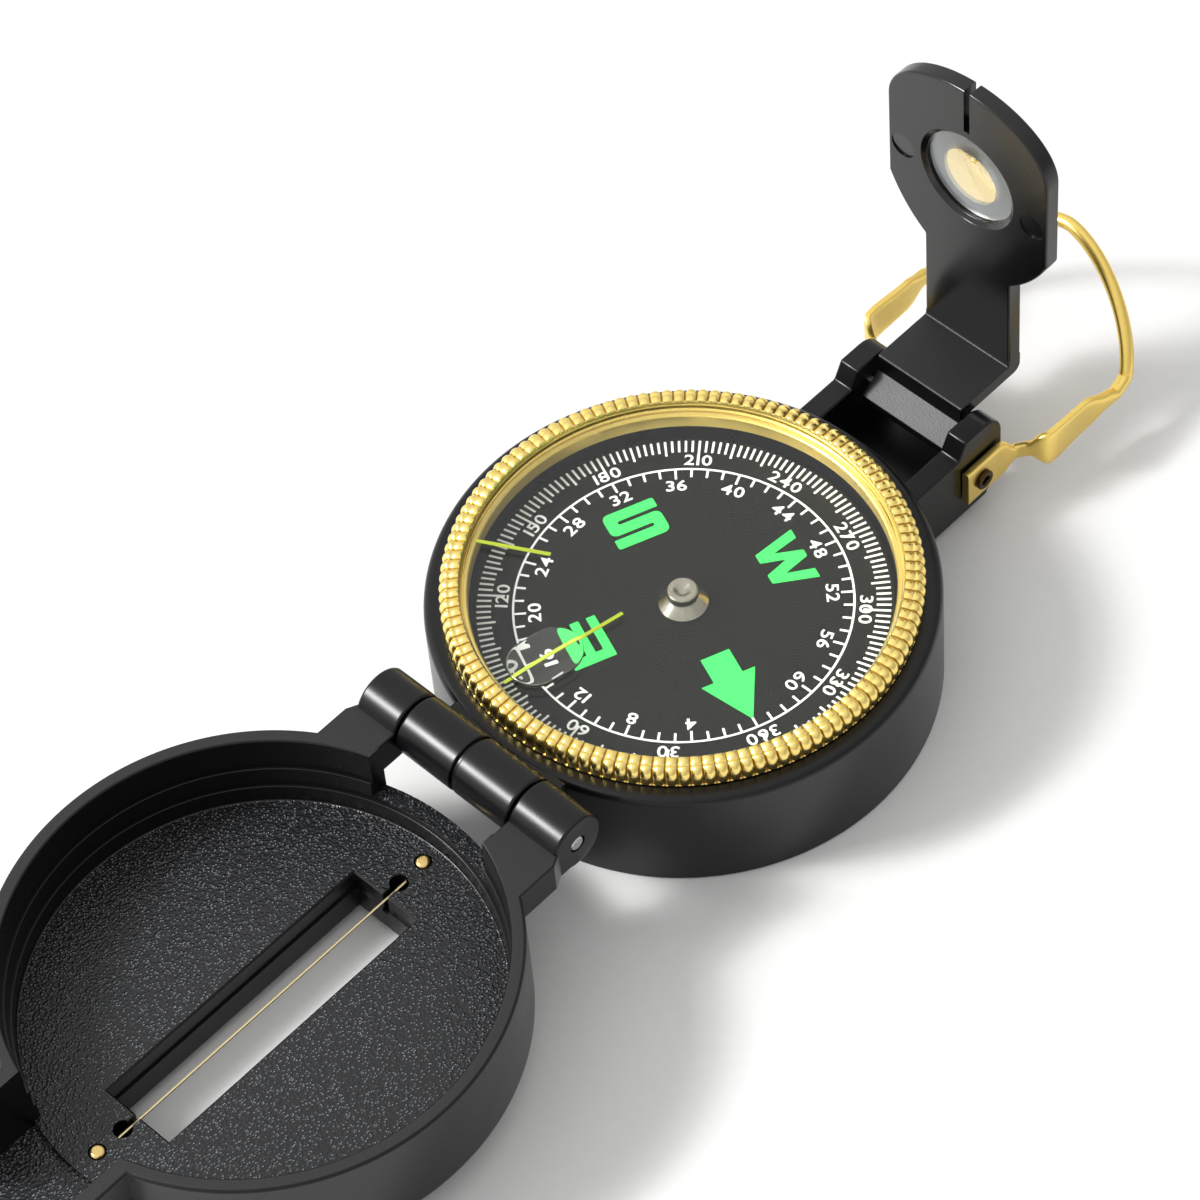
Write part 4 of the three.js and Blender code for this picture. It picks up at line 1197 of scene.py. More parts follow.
@dataclass
class LuminousMarks:
    """Outlines of the north arrow and of the other quarters' letters, u across and v outward."""

    low: float = 9.5
    high: float = 14.4
    arrow_tail: float = 7.7
    arrow_barb: float = 11.0
    arrow_tip: float = 17.0
    arrow_stem: float = 1.65
    arrow_half: float = 3.1
    east_low: float = 9.1
    east_high: float = 13.9
    east_half: float = 2.9
    east_foot: float = 2.85
    east_stem: float = 1.25
    east_rung: float = 1.0
    south_half: float = 3.05
    south_bar: float = 1.3
    south_curl: float = 0.75
    south_tip: float = 0.3
    south_tip_inside: float = 0.1
    south_bend: float = 0.25
    south_arc_steps: int = 4
    west_top: tuple[float, ...] = (-3.6, -2.35, -0.55, 0.35, 2.25, 3.5)
    west_foot: tuple[float, ...] = (2.05, 0.85, -0.95, -2.15)
    west_valleys: Point2 = (-1.5, 1.45)
    west_valley: float = 11.3
    west_peak: Point2 = (-0.2, 12.2)

    def arrow(self) -> list[Point2]:
        """Arrow of the north quarter.

        Returns:
            The outline.
        """
        stem = self.arrow_stem
        return [
            (-stem, self.arrow_tail), (stem, self.arrow_tail), (stem, self.arrow_barb),
            (self.arrow_half, self.arrow_barb), (0, self.arrow_tip), (-self.arrow_half, self.arrow_barb),
            (-stem, self.arrow_barb),
        ]

    def east(self) -> list[Point2]:
        """Letter of the east quarter: a stem with three rungs.

        Returns:
            The outline.
        """
        half = self.east_half
        low = self.east_low
        high = self.east_high
        rung = self.east_rung
        stem = self.east_stem - half
        middle = (low + high) / 2
        return [
            (-half, low), (self.east_foot, low), (self.east_foot, low + rung), (stem, low + rung),
            (stem, middle - rung / 2), (half, middle - rung / 2), (half, middle + rung / 2),
            (stem, middle + rung / 2), (stem, high - rung), (half, high - rung), (half, high), (-half, high),
        ]

    def south(self) -> list[Point2]:
        """Letter of the south quarter: a bar folded twice, its lower half the upper one turned round.

        Returns:
            The outline.
        """
        half = self.south_half
        bar = self.south_bar
        under = self.high - bar
        gap = (self.high - self.low - 3 * bar) / 2
        upper = [
            (-half, self.high, self.south_curl),
            (half, self.high, self.south_tip),
            (half, under, self.south_tip_inside),
            (bar - half, under, self.south_bend),
            (bar - half, under - gap, self.south_bend),
            (half, under - gap, self.south_curl),
        ]
        lower = [(-u, self.low + self.high - v, radius) for u, v, radius in upper]
        return rounded([*upper, *lower], steps=self.south_arc_steps)

    def west(self) -> list[Point2]:
        """Letter of the west quarter: four slanted strokes.

        Returns:
            The outline.
        """
        top = [(u, self.high) for u in self.west_top]
        foot = [(u, self.low) for u in self.west_foot]
        left, right = [(u, self.west_valley) for u in self.west_valleys]
        return [*top[:2], left, *top[2:4], right, *top[4:], *foot[:2], self.west_peak, *foot[2:]]

    def by_bearing(self) -> dict[int, list[Point2]]:
        """Outlines by the bearing that they stand at."""
        return {0: self.arrow(), 90: self.east(), 180: self.south(), 270: self.west()}


@dataclass
class Dial:
    """Floating card with its printed scales, figures and luminous marks."""

    finishes: Finishes
    marks: LuminousMarks = field(default_factory=LuminousMarks)
    north: float = -21.8
    hole: float = 1.72
    edge_round: float = 0.1
    edge_arc_steps: int = 3
    ink: float = 0.02
    tick_every: int = 2
    longer_every: int = 10
    figure_every: int = 30
    tick_outer: float = 22.0
    tick_inner: float = 20.45
    longer_inner: float = 20.0
    longest_inner: float = 19.06
    tick_width: float = 0.26
    circle: float = 18.1
    circle_width: float = 0.24
    mil_count: int = 64
    mil_figure_every: int = 4
    mil_tick: float = 1.0
    mil_long: float = 1.25
    degree_figures: float = 19.25
    mil_figures: float = 15.75
    figure_ink: float = 0.03
    figure_size: float = 1.95
    figure_width: float = 1.22
    figure_gap: float = 0.26
    figure_arc_steps: int = 4
    stroke: float = 0.025

    def __post_init__(self) -> None:
        """Reads the card's place from the frame."""
        low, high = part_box("dial_card")
        self.radius = high.x / MM
        self.bottom = low.z / MM
        self.top = high.z / MM

    def facing(self, bearing: float) -> Matrix:
        """Turn and lift that put a drawing at a bearing: its +Y outward, on the card's top."""
        angle = math.radians(self.north - bearing - 90)
        return Matrix.Translation((0, 0, self.top * MM)) @ Matrix.Rotation(angle, 4, "Z")

    def stamped(self, outline: list[Point2], bearing: float) -> bpy.types.Mesh:
        """One printed shape.

        Args:
            outline: its points, v measured outward from the dial's axis.
            bearing: the bearing that it stands at, in degrees.

        Returns:
            The mesh.
        """
        mesh = drawn(outline, 0.0, self.ink, Axis.Z)
        mesh.transform(self.facing(bearing))
        return mesh

    def tick(self, bearing: float, inner: float, outer: float) -> bpy.types.Mesh:
        """One scale line at a bearing, from one radius to another."""
        half = self.tick_width / 2
        return self.stamped([(-half, inner), (half, inner), (half, outer), (-half, outer)], bearing)

    def digit(self, character: str) -> bpy.types.Mesh:
        """One digit in outline, extruded by the ink's thickness.

        Args:
            character: the digit.

        Returns:
            The mesh, its middle at the origin.
        """
        curve = bpy.data.curves.new("digit", "FONT")
        curve.body = character
        curve.size = self.figure_size * MM
        curve.align_y = "CENTER"
        curve.extrude = self.figure_ink / 2 * MM
        curve.offset = self.stroke * MM
        curve.resolution_u = self.figure_arc_steps
        item = linked("digit", curve)
        mesh = evaluated(item)
        bpy.data.objects.remove(item)
        spread = [vert.co.x for vert in mesh.vertices]
        middle = (min(spread) + max(spread)) / 2
        with opened(mesh) as work:
            merge(work, MERGE_DISTANCE)
            bmesh.ops.recalc_face_normals(work, faces=work.faces)
        mesh.transform(Matrix.Diagonal((self.figure_width, 1, 1, 1)) @ Matrix.Translation((-middle, 0, 0)))
        return mesh

    def figure(self, number: int, bearing: float, radius: float) -> bpy.types.Mesh:
        """One printed number, its top outward and its digits evenly spaced.

        Args:
            number: the number.
            bearing: the bearing that it stands at, in degrees.
            radius: distance of its middle from the dial's axis.

        Returns:
            The mesh.
        """
        glyphs = [self.digits[character] for character in str(number)]
        widths = [2 * max(vert.co.x for vert in glyph.vertices) / MM for glyph in glyphs]
        start = -(sum(widths) + self.figure_gap * (len(widths) - 1)) / 2
        placed = []
        for glyph, width in zip(glyphs, widths):
            copy = glyph.copy()
            copy.transform(Matrix.Translation(Vector((start + width / 2, radius, self.figure_ink / 2)) * MM))
            placed.append(copy)
            start += width + self.figure_gap
        mesh = gathered(placed)
        mesh.transform(self.facing(bearing))
        return mesh

    def printed(self, name: str, meshes: list[bpy.types.Mesh]) -> None:
        """Puts one printing in white ink on the card."""
        piece(name, gathered(meshes), [self.finishes.white], Body.DIAL)

    def scales(self) -> None:
        """Degree ticks round the edge, the inner circle and its ticks."""
        ticks = []
        for bearing in range(0, 360, self.tick_every):
            inner = self.tick_inner
            if bearing % self.figure_every == 0:
                inner = self.longest_inner
            elif bearing % self.longer_every == 0:
                inner = self.longer_inner
            ticks.append(self.tick(bearing, inner, self.tick_outer))
        self.printed("dial_degree_scale", ticks)
        half = self.circle_width / 2
        ring = turned([
            (self.circle - half, self.top),
            (self.circle + half, self.top),
            (self.circle + half, self.top + self.ink),
            (self.circle - half, self.top + self.ink),
        ], Flats.CIRCLE, hollow=True)
        mils = [ring]
        for k in range(self.mil_count):
            length = self.mil_long if k % self.mil_figure_every == 0 else self.mil_tick
            bearing = 360 * k / self.mil_count
            mils.append(self.tick(bearing, self.circle - half - length, self.circle - half))
        self.printed("dial_mil_scale", mils)

    def figures(self) -> None:
        """Degrees outside the circle and hundreds of mils inside it."""
        self.digits = {character: self.digit(character) for character in "0123456789"}
        degrees = [
            self.figure(bearing, bearing, self.degree_figures)
            for bearing in range(self.figure_every, 360 + 1, self.figure_every)
        ]
        self.printed("dial_degree_figures", degrees)
        mils = [
            self.figure(k, 360 * k / self.mil_count, self.mil_figures)
            for k in range(self.mil_figure_every, self.mil_count, self.mil_figure_every)
        ]
        self.printed("dial_mil_figures", mils)

    def letters(self) -> None:
        """Luminous north arrow and the letters of the other three quarters."""
        marks = [self.stamped(outline, bearing) for bearing, outline in self.marks.by_bearing().items()]
        piece("dial_luminous_marks", gathered(marks), [self.finishes.green], Body.DIAL)

    def card(self) -> None:
        """Thin card with a hole for the cap's stem."""
        profile = rounded([
            (self.hole, self.bottom, 0),
            (self.radius, self.bottom, self.edge_round),
            (self.radius, self.top, self.edge_round),
            (self.hole, self.top, 0),
        ], steps=self.edge_arc_steps)
        mesh = turned(profile, Flats.DISC, hollow=True)
        piece("dial_card_printed", mesh, [self.finishes.card], Body.DIAL, ("dial_card",))

    def build(self) -> None:
        """Makes the card and its print."""
        self.card()
        self.scales()
        self.figures()
        self.letters()


@dataclass
class DialCap:
    """Turned cap in the middle of the card: cone, neck and a dimpled button over the jewel's bore.

    The heights of lip, cone, neck and button count from the seat, those of the dimple down from the top.
    """

    finishes: Finishes
    card_top: float
    gap: float = 0.06
    bore: float = 1.12
    stem: float = 1.6
    foot: float = 2.7
    foot_round: float = 0.06
    lip: float = 0.22
    lip_round: float = 0.12
    cone: Point2 = (1.62, 1.12)
    cone_round: float = 0.25
    neck: Point2 = (1.5, 1.25)
    neck_round: float = 0.1
    button: Point2 = (1.7, 1.45)
    button_round: float = 0.15
    top_round: float = 0.3
    dimple: float = 1.0
    dimple_floor: Point2 = (0.45, 0.3)
    dimple_round: float = 0.2
    dimple_depth: float = 0.35

    def build(self) -> None:
        """Makes the cap, seated on the card."""
        low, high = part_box("dial_cap")
        bottom = low.z / MM
        top = high.z / MM
        seat = self.card_top + self.gap
        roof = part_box("pivot_jewel")[1].z / MM + self.gap
        profile = rounded([
            (0, roof, 0),
            (self.bore, roof, 0),
            (self.bore, bottom, 0),
            (self.stem, bottom, 0),
            (self.stem, seat, 0),
            (self.foot, seat, self.foot_round),
            (self.foot, seat + self.lip, self.lip_round),
            (self.cone[0], seat + self.cone[1], self.cone_round),
            (self.neck[0], seat + self.neck[1], self.neck_round),
            (self.button[0], seat + self.button[1], self.button_round),
            (self.button[0], top, self.top_round),
            (self.dimple, top, self.top_round),
            (self.dimple_floor[0], top - self.dimple_floor[1], self.dimple_round),
            (0, top - self.dimple_depth, 0),
        ], closed=False)
        mesh = turned(profile, Flats.SMALL_DISC)
        piece("dial_cap_turned", mesh, [self.finishes.nickel], Body.DIAL, ("dial_cap",))


@dataclass
class Cover:
    """Cup-shaped lid with a sight slot, hinge arms on one side, a hood on the other and the wire's pins."""

    datum: Datum
    finishes: Finishes
    hinge: HingeSizes = field(default_factory=HingeSizes)
    height: float = 15.2
    wall: float = 1.6
    floor: float = 5.6
    floor_round: float = 0.25
    bevel_width: float = 3.2
    bevel_height: float = 3.4
    bevel_round: float = 1.2
    bulge: Point2 = (0.32, 0.36)
    bulge_round: float = 2.0
    rim_outer_round: float = 0.4
    rim_inner_round: float = 0.3
    ledge: float = 0.35
    ledge_round: float = 0.12
    first_ledge: float = 4.5
    second_ledge: float = 7.2
    arm_height: float = 4.2
    arm_round: float = 0.4
    arm_edge: float = 0.2
    flare: float = 0.7
    slot_half_width: float = 4.5
    slot_half_length: float = 17.5
    slot_ease: float = 0.22
    slot_ledge: float = 0.25
    slot_ledge_depth: float = 2.4
    overcut: float = 0.01
    wire_hole: float = 1.05
    wire_hole_reach: float = 2.1
    wire_notch_half: float = 0.4
    hole_depth: float = 3.0
    pin_reach: float = 5.6
    pin_bore: float = 0.97
    pin_gap: float = 0.12
    pin_foot_round: float = 0.1
    pin_head_round: float = 0.5
    pin_arc_steps: int = 10
    knuckle_notch: float = 6.8
    notch_inset: float = 0.02
    notch_reach: float = 8.0
    mouth_half: float = 7.4
    hood_wall: float = 1.8
    hood_end: float = -34.5
    hood_step: float = 0.6
    hood_thickness: float = 3.0
    hood_round: float = 1.8
    hood_edge: float = 0.3
    level_face: float = 0.9
    level_margin: float = 0.01
    floor_margin: float = 1.0

    def __post_init__(self) -> None:
        """Reads the cover's place from the frame."""
        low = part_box("cover_shell")[0]
        self.centre = (0.0, 2 * self.datum.hinge[0], low.z / MM)
        self.inner = self.datum.case_radius - self.wall
        self.mid_wall = self.datum.case_radius - self.wall / 2
        self.tall = 2 * self.height

    def cup(self) -> bpy.types.Mesh:
        """Round cup: bevelled outer face, stepped inner wall, thick floor.

        Returns:
            The mesh.
        """
        outer = self.datum.case_radius
        rim = self.height
        inner = self.inner
        return turned(rounded([
            (0, 0, 0),
            (outer - self.bevel_width, 0, self.bevel_round),
            (outer - self.bulge[0] * self.bevel_width, self.bulge[1] * self.bevel_height, self.bulge_round),
            (outer, self.bevel_height, self.bevel_round),
            (outer, rim, self.rim_outer_round),
            (inner, rim, self.rim_inner_round),
            (inner, rim - self.first_ledge, 0),
            (inner - self.ledge, rim - self.first_ledge, self.ledge_round),
            (inner - self.ledge, rim - self.second_ledge, 0),
            (inner - 2 * self.ledge, rim - self.second_ledge, self.ledge_round),
            (inner - 2 * self.ledge, self.floor, self.floor_round),
            (0, self.floor, 0),
        ], closed=False), Flats.CASE, Axis.Z, self.centre)

    def arm(self, side: int) -> list[bpy.types.Mesh]:
        """Hinge arm and knuckle on one side.

        Args:
            side: -1 on the left, 1 on the right.

        Returns:
            The two meshes.
        """
        sizes = self.hinge
        near = sizes.base_half + sizes.gap
        far = sizes.right_end if side > 0 else sizes.left_end
        wide = far + self.flare
        line = -self.datum.hinge[0]
        wall_near = math.sqrt(self.mid_wall ** 2 - near ** 2)
        wall_wide = math.sqrt(self.mid_wall ** 2 - wide ** 2)
        plan = rounded([
            (side * near, line, 0),
            (side * near, wall_near, 0),
            (side * wide, wall_wide, 0),
            (side * wide, line - sizes.barrel - self.flare, self.arm_round),
            (side * far, line - sizes.barrel + self.flare, self.arm_round),
            (side * far, line, 0),
        ])
        arm = drawn(plan, self.height - self.arm_height, self.height, Axis.Z, self.centre)
        barrel = rod(sizes.barrel, (side * near, side * far), Flats.BARREL, Axis.X,
                     (0, *self.datum.hinge), (sizes.end_round, sizes.end_round))
        return [bevelled(arm, self.arm_edge), barrel]

    def hood(self) -> bpy.types.Mesh:
        """Channel that runs out from the rim over the folded eyepiece, outside the round cup only.

        Returns:
            The mesh.
        """
        outer = self.mouth_half + self.hood_wall
        root = -math.sqrt(self.mid_wall ** 2 - outer ** 2)
        plan = rounded([
            (-outer, root, 0),
            (-outer, self.hood_end, self.hood_round),
            (outer, self.hood_end, self.hood_round),
            (outer, root, 0),
        ])
        low = self.floor - self.hood_step - self.hood_thickness
        block = bevelled(drawn(plan, low, self.height, Axis.Z, self.centre), self.hood_edge)
        return fused(block, [self.plug(self.mid_wall)], Fuse.CUT)

    def plug(self, radius: float) -> bpy.types.Mesh:
        """Tall round plug about the cover's centre."""
        return rod(radius, (-self.tall, self.tall), Flats.CASE, Axis.Z, self.centre)

    def box_cut(self, half: Point2, y: float, low: float) -> bpy.types.Mesh:
        """Rectangular cut on the cover's middle line, open upward.

        Args:
            half: half of its width and length.
            y: where its middle lies along the line.
            low: height of its floor.

        Returns:
            The mesh.
        """
        centre = (0, self.centre[1] + y, self.centre[2])
        return drawn(oblong(*half), low, self.tall, Axis.Z, centre)

    def round_cut(self, radius: float, y: float, low: float) -> bpy.types.Mesh:
        """Round cut on the cover's middle line, open upward."""
        centre = (0, self.centre[1] + y, self.centre[2])
        return rod(radius, (low, self.tall), Flats.ROD, Axis.Z, centre)

    def slot_easing(self) -> bpy.types.Mesh:
        """Sloped cut that eases the slot's upper edge.

        Returns:
            The mesh.
        """
        x, y, z = self.centre
        levels = [(-self.slot_ease, 0.0), (self.overcut, self.slot_ease + self.overcut)]
        rings = []
        for rise, grow in levels:
            outline = oblong(self.slot_half_width + grow, self.slot_half_length + grow)
            rings.append([(x + u, y + v, z + self.floor + rise) for u, v in outline])
        return skin(rings, looped=False)

    def cuts(self) -> list[bpy.types.Mesh]:
        """Sight slot, wire notch and holes, hood's mouth, hinge bore, the knuckle's notch and pin bores.

        Returns:
            The meshes that cut the cover, in order.
        """
        floor = self.floor
        hole_y = self.slot_half_length + self.wire_hole_reach
        pin_y = self.slot_half_length + self.pin_reach
        hole_z = floor - self.hole_depth
        slot = (self.slot_half_width, self.slot_half_length)
        lower = (self.slot_half_width - self.slot_ledge, self.slot_half_length - self.slot_ledge)
        reach = self.datum.case_radius
        mouth_y = reach / 2
        step = self.box_cut((self.mouth_half, -self.hood_end), self.hood_end, floor - self.hood_step)
        bore = self.hinge.pin + self.hinge.pin_gap
        notch_half = self.hinge.base_half + self.hinge.gap - self.notch_inset
        cuts = [
            self.box_cut(slot, 0, floor - self.slot_ledge_depth),
            self.box_cut(lower, 0, -self.tall),
            self.slot_easing(),
            self.box_cut((self.wire_notch_half, hole_y), 0, hole_z),
            fused(step, [self.plug(self.inner)], Fuse.CUT),
            self.box_cut((self.mouth_half, mouth_y), -mouth_y, floor),
            rod(bore, (-reach, reach), Flats.BORE, Axis.X, (0, *self.datum.hinge)),
            self.box_cut((notch_half, self.notch_reach), reach, self.height - self.knuckle_notch),
        ]
        for side in (-1, 1):
            cuts.append(self.round_cut(self.wire_hole, side * hole_y, hole_z))
            cuts.append(self.round_cut(self.pin_bore, side * pin_y, hole_z - self.pin_gap))
        return cuts

    def surface(self, face: bpy.types.MeshPolygon) -> int:
        """Says which finish a face of the moulding takes.

        Args:
            face: the face.

        Returns:
            1 on the floor and in the knuckle's notch, 2 on the rim and the arms' tops, otherwise 0.
        """
        height = face.center.z / MM - self.centre[2]
        notch = self.height - self.knuckle_notch
        if face.normal.z < self.level_face:
            return 0
        if abs(height - self.height) < self.level_margin:
            return 2
        return int(abs(height - self.floor) < self.floor_margin or abs(height - notch) < self.level_margin)

    def pins(self) -> None:
        """Brass pins with round heads beside the ends of the wire."""
        for name in ("wire_pin_hinge_end", "wire_pin_hood_end"):
            low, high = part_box(name)
            radius = (high.x - low.x) / 2 / MM
            middle = (0.0, (low.y + high.y) / 2 / MM, 0.0)
            mesh = rod(radius, (low.z / MM, high.z / MM), Flats.PIN_HEAD, Axis.Z, middle,
                       (self.pin_foot_round, self.pin_head_round), self.pin_arc_steps)
            piece(name + "_head", mesh, [self.finishes.brass], Body.COVER, (name,))

    def build(self) -> None:
        """Makes the cover in one moulding, and its pins."""
        whole = fused(self.cup(), [*self.arm(-1), *self.arm(1), self.hood()], Fuse.JOIN)
        whole = fused(whole, self.cuts(), Fuse.CUT)
        finishes = self.finishes
        piece("cover_moulding", whole, [finishes.satin, finishes.spark, finishes.fine], Body.COVER,
              ("cover_shell",), self.surface)
        self.pins()


@dataclass
class Eyepiece:
    """Folding bracket with a foot, a flat plate and an upright that holds the lens."""

    datum: Datum
    finishes: Finishes
    half_width: float = 6.0
    leg: float = 1.85
    plate: float = 4.35
    leg_front: float = 0.5
    hub: float = 2.16
    hub_round: float = 1.2
    foot: float = 2.2
    foot_top: float = 1.85
    foot_top_round: float = 0.15
    foot_lip: float = -0.1
    foot_lip_round: float = 0.2
    foot_under: float = -1.3
    foot_under_round: float = 0.5
    plate_round: float = 0.25
    plate_under_round: float = 0.3
    heel_round: float = 1.1
    lower_edge: float = 0.2
    bend: float = 0.8
    front: float = 8.4
    thickness: float = 2.0
    neck: float = 17.7
    shoulder: float = 24.4
    sweep: Point2 = (0.64, 0.38)
    sweep_steps: int = 14
    side: float = 36.4
    head_half: float = 11.0
    crown: float = 7.4
    crown_steps: int = 48
    upper_edge: float = 0.3
    seat_gap: float = 0.12
    seat_bevel: float = 0.6
    seat_bevel_depth: float = 0.4
    seat_front_round: float = 0.2
    seat_round: float = 0.15
    slot_half: float = 0.4
    slot_depth: float = 6.0
    overcut: float = 1.0
    pin_bore: float = 0.92
    flange: float = 0.45
    clear_share: float = 0.62
    dome: float = 0.3
    dome_steps: int = 12
    lens_edge: float = 0.5
    mark: float = 1.6
    mark_spacing: float = 17.8
    mark_drop: float = 1.0
    mark_tilt: float = 4.0
    mark_cutter: float = 2.0
    facing_up: float = 0.05

    def __post_init__(self) -> None:
        """Reads the pivot and the lens from the frame."""
        self.pivot = (0.0, *self.datum.eyepiece)
        low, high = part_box("eyepiece_lens")
        self.lens = (high.x - low.x) / 2 / MM + self.flange
        self.lens_front = low.y / MM
        self.lens_back = high.y / MM
        self.lens_centre = (0.0, 0.0, (high.z + low.z) / 2 / MM)

    def lower(self) -> bpy.types.Mesh:
        """Foot, leg and plate.

        Returns:
            The mesh.
        """
        below = self.plate - self.leg
        back = self.front + self.thickness
        outline = rounded([
            (-self.foot, self.foot_lip, self.foot_lip_round),
            (-self.foot, self.foot_under, self.foot_under_round),
            (0, -self.hub, self.hub_round),
            (self.hub, 0, self.hub_round),
            (self.hub, below, self.plate_under_round),
            (back, below, self.heel_round),
            (back, self.plate + self.bend, 0),
            (self.front, self.plate + self.bend, 0),
            (self.front, self.plate, self.plate_round),
            (self.leg_front, self.plate, self.plate_round),
            (self.leg_front, self.foot_top, self.foot_top_round),
        ])
        mesh = drawn(outline, -self.half_width, self.half_width, Axis.X, self.pivot)
        return bevelled(mesh, self.lower_edge)

    def upper(self) -> bpy.types.Mesh:
        """Upright plate: straight neck, swept shoulders, straight sides and an oval crown.

        Returns:
            The mesh.
        """
        neck = self.half_width
        head = self.head_half
        start = Vector((neck, self.neck))
        end = Vector((head, self.shoulder))
        pull = Vector((
            neck + self.sweep[0] * (head - neck),
            self.neck + self.sweep[1] * (self.shoulder - self.neck),
        ))
        right = [(neck, self.plate)]
        for k in range(self.sweep_steps + 1):
            t = k / self.sweep_steps
            right.append(tuple(start * (1 - t) ** 2 + pull * 2 * t * (1 - t) + end * t * t))
        crown = []
        for k in range(self.crown_steps + 1):
            angle = math.pi * k / self.crown_steps
            crown.append((head * math.cos(angle), self.side + self.crown * math.sin(angle)))
        left = [(-u, v) for u, v in reversed(right)]
        outline = [*right, *crown, *left]
        mesh = drawn(outline, self.front, self.front + self.thickness, Axis.Y, self.pivot)
        return bevelled(mesh, self.upper_edge)

    def half_round_mark(self, side: int) -> bpy.types.Mesh:
        """Cutter for a shallow mark beside the lens: a disc tilted into the front face.

        Args:
            side: -1 on the left, 1 on the right.

        Returns:
            The mesh.
        """
        disc = rod(self.mark, (-self.mark_cutter, 0), Flats.ROD, Axis.Y)
        tilt = math.radians(self.mark_tilt)
        depth = self.pivot[1] + self.front + self.mark * math.sin(tilt)
        place = Vector((side * self.mark_spacing / 2, depth, self.lens_centre[2] - self.mark_drop)) * MM
        disc.transform(Matrix.Translation(place) @ Matrix.Rotation(tilt, 4, "X"))
        return disc

    def cuts(self) -> list[bpy.types.Mesh]:
        """Bevelled lens seat, peep slot, the pin's bore and two shallow half-round marks.

        Returns:
            The meshes that cut the bracket, in order.
        """
        seat = self.lens + self.seat_gap
        front = self.pivot[1] + self.front
        back = front + self.thickness
        before = front - self.overcut
        behind = back + self.overcut
        lens_seat = turned(rounded([
            (0, before, 0),
            (seat + self.seat_bevel, before, 0),
            (seat + self.seat_bevel, front, self.seat_front_round),
            (seat, front + self.seat_bevel_depth, self.seat_round),
            (seat, behind, 0),
            (0, behind, 0),
        ], closed=False), Flats.SMALL_DISC, Axis.Y, self.lens_centre)
        crown = (0, 0, self.pivot[2] + self.side + self.crown)
        slot = drawn(oblong(self.slot_half, self.slot_depth), before, behind, Axis.Y, crown)
        wide = 2 * self.half_width
        way = rod(self.pin_bore, (-wide, wide), Flats.BORE, Axis.X, self.pivot)
        return [lens_seat, slot, way, self.half_round_mark(-1), self.half_round_mark(1)]

    def glass(self) -> None:
        """Double-convex lens with a ground bevel round its edge."""
        clear = self.clear_share * self.lens
        shares = [k / self.dome_steps for k in range(self.dome_steps + 1)]
        dome = [(clear * share, self.dome * (1 - share ** 2)) for share in shares]
        front = [(r, self.lens_front + self.dome - rise) for r, rise in dome]
        back = [(r, self.lens_back - self.dome + rise) for r, rise in reversed(dome)]
        middle = (self.lens_front + self.lens_back) / 2
        edge = [(self.lens, middle - self.lens_edge), (self.lens, middle + self.lens_edge)]
        mesh = turned([*front, *edge, *back], Flats.SMALL_DISC, Axis.Y, self.lens_centre)
        piece("eyepiece_lens_ground", mesh, [self.finishes.eye_lens, self.finishes.ground], Body.EYEPIECE,
              ("eyepiece_lens",), self.ground_edge)

    def ground_edge(self, face: bpy.types.MeshPolygon) -> bool:
        """Whether a face of the lens lies outside its clear middle."""
        offset = face.center / MM - Vector(self.lens_centre)
        return math.hypot(offset.x, offset.z) > self.clear_share * self.lens

    def grained(self, face: bpy.types.MeshPolygon) -> bool:
        """Whether a face is the plate's or the foot's top, or the bend above the plate."""
        bend = (self.pivot[2] + self.plate + self.bend) * MM
        return face.normal.z > self.facing_up and face.center.z < bend

    def build(self) -> None:
        """Makes the bracket in one moulding, and its lens."""
        whole = fused(self.lower(), [self.upper()], Fuse.JOIN)
        whole = fused(whole, self.cuts(), Fuse.CUT)
        piece("eyepiece_moulding", whole, [self.finishes.gloss, self.finishes.fine], Body.EYEPIECE,
              ("eyepiece_bracket",), self.grained)
        self.glass()


@dataclass
class Station:
    """One place along the loop's wire: centre, width, thickness and how square the section is."""

    centre: Vector
    width: float
    thickness: float
    squareness: float


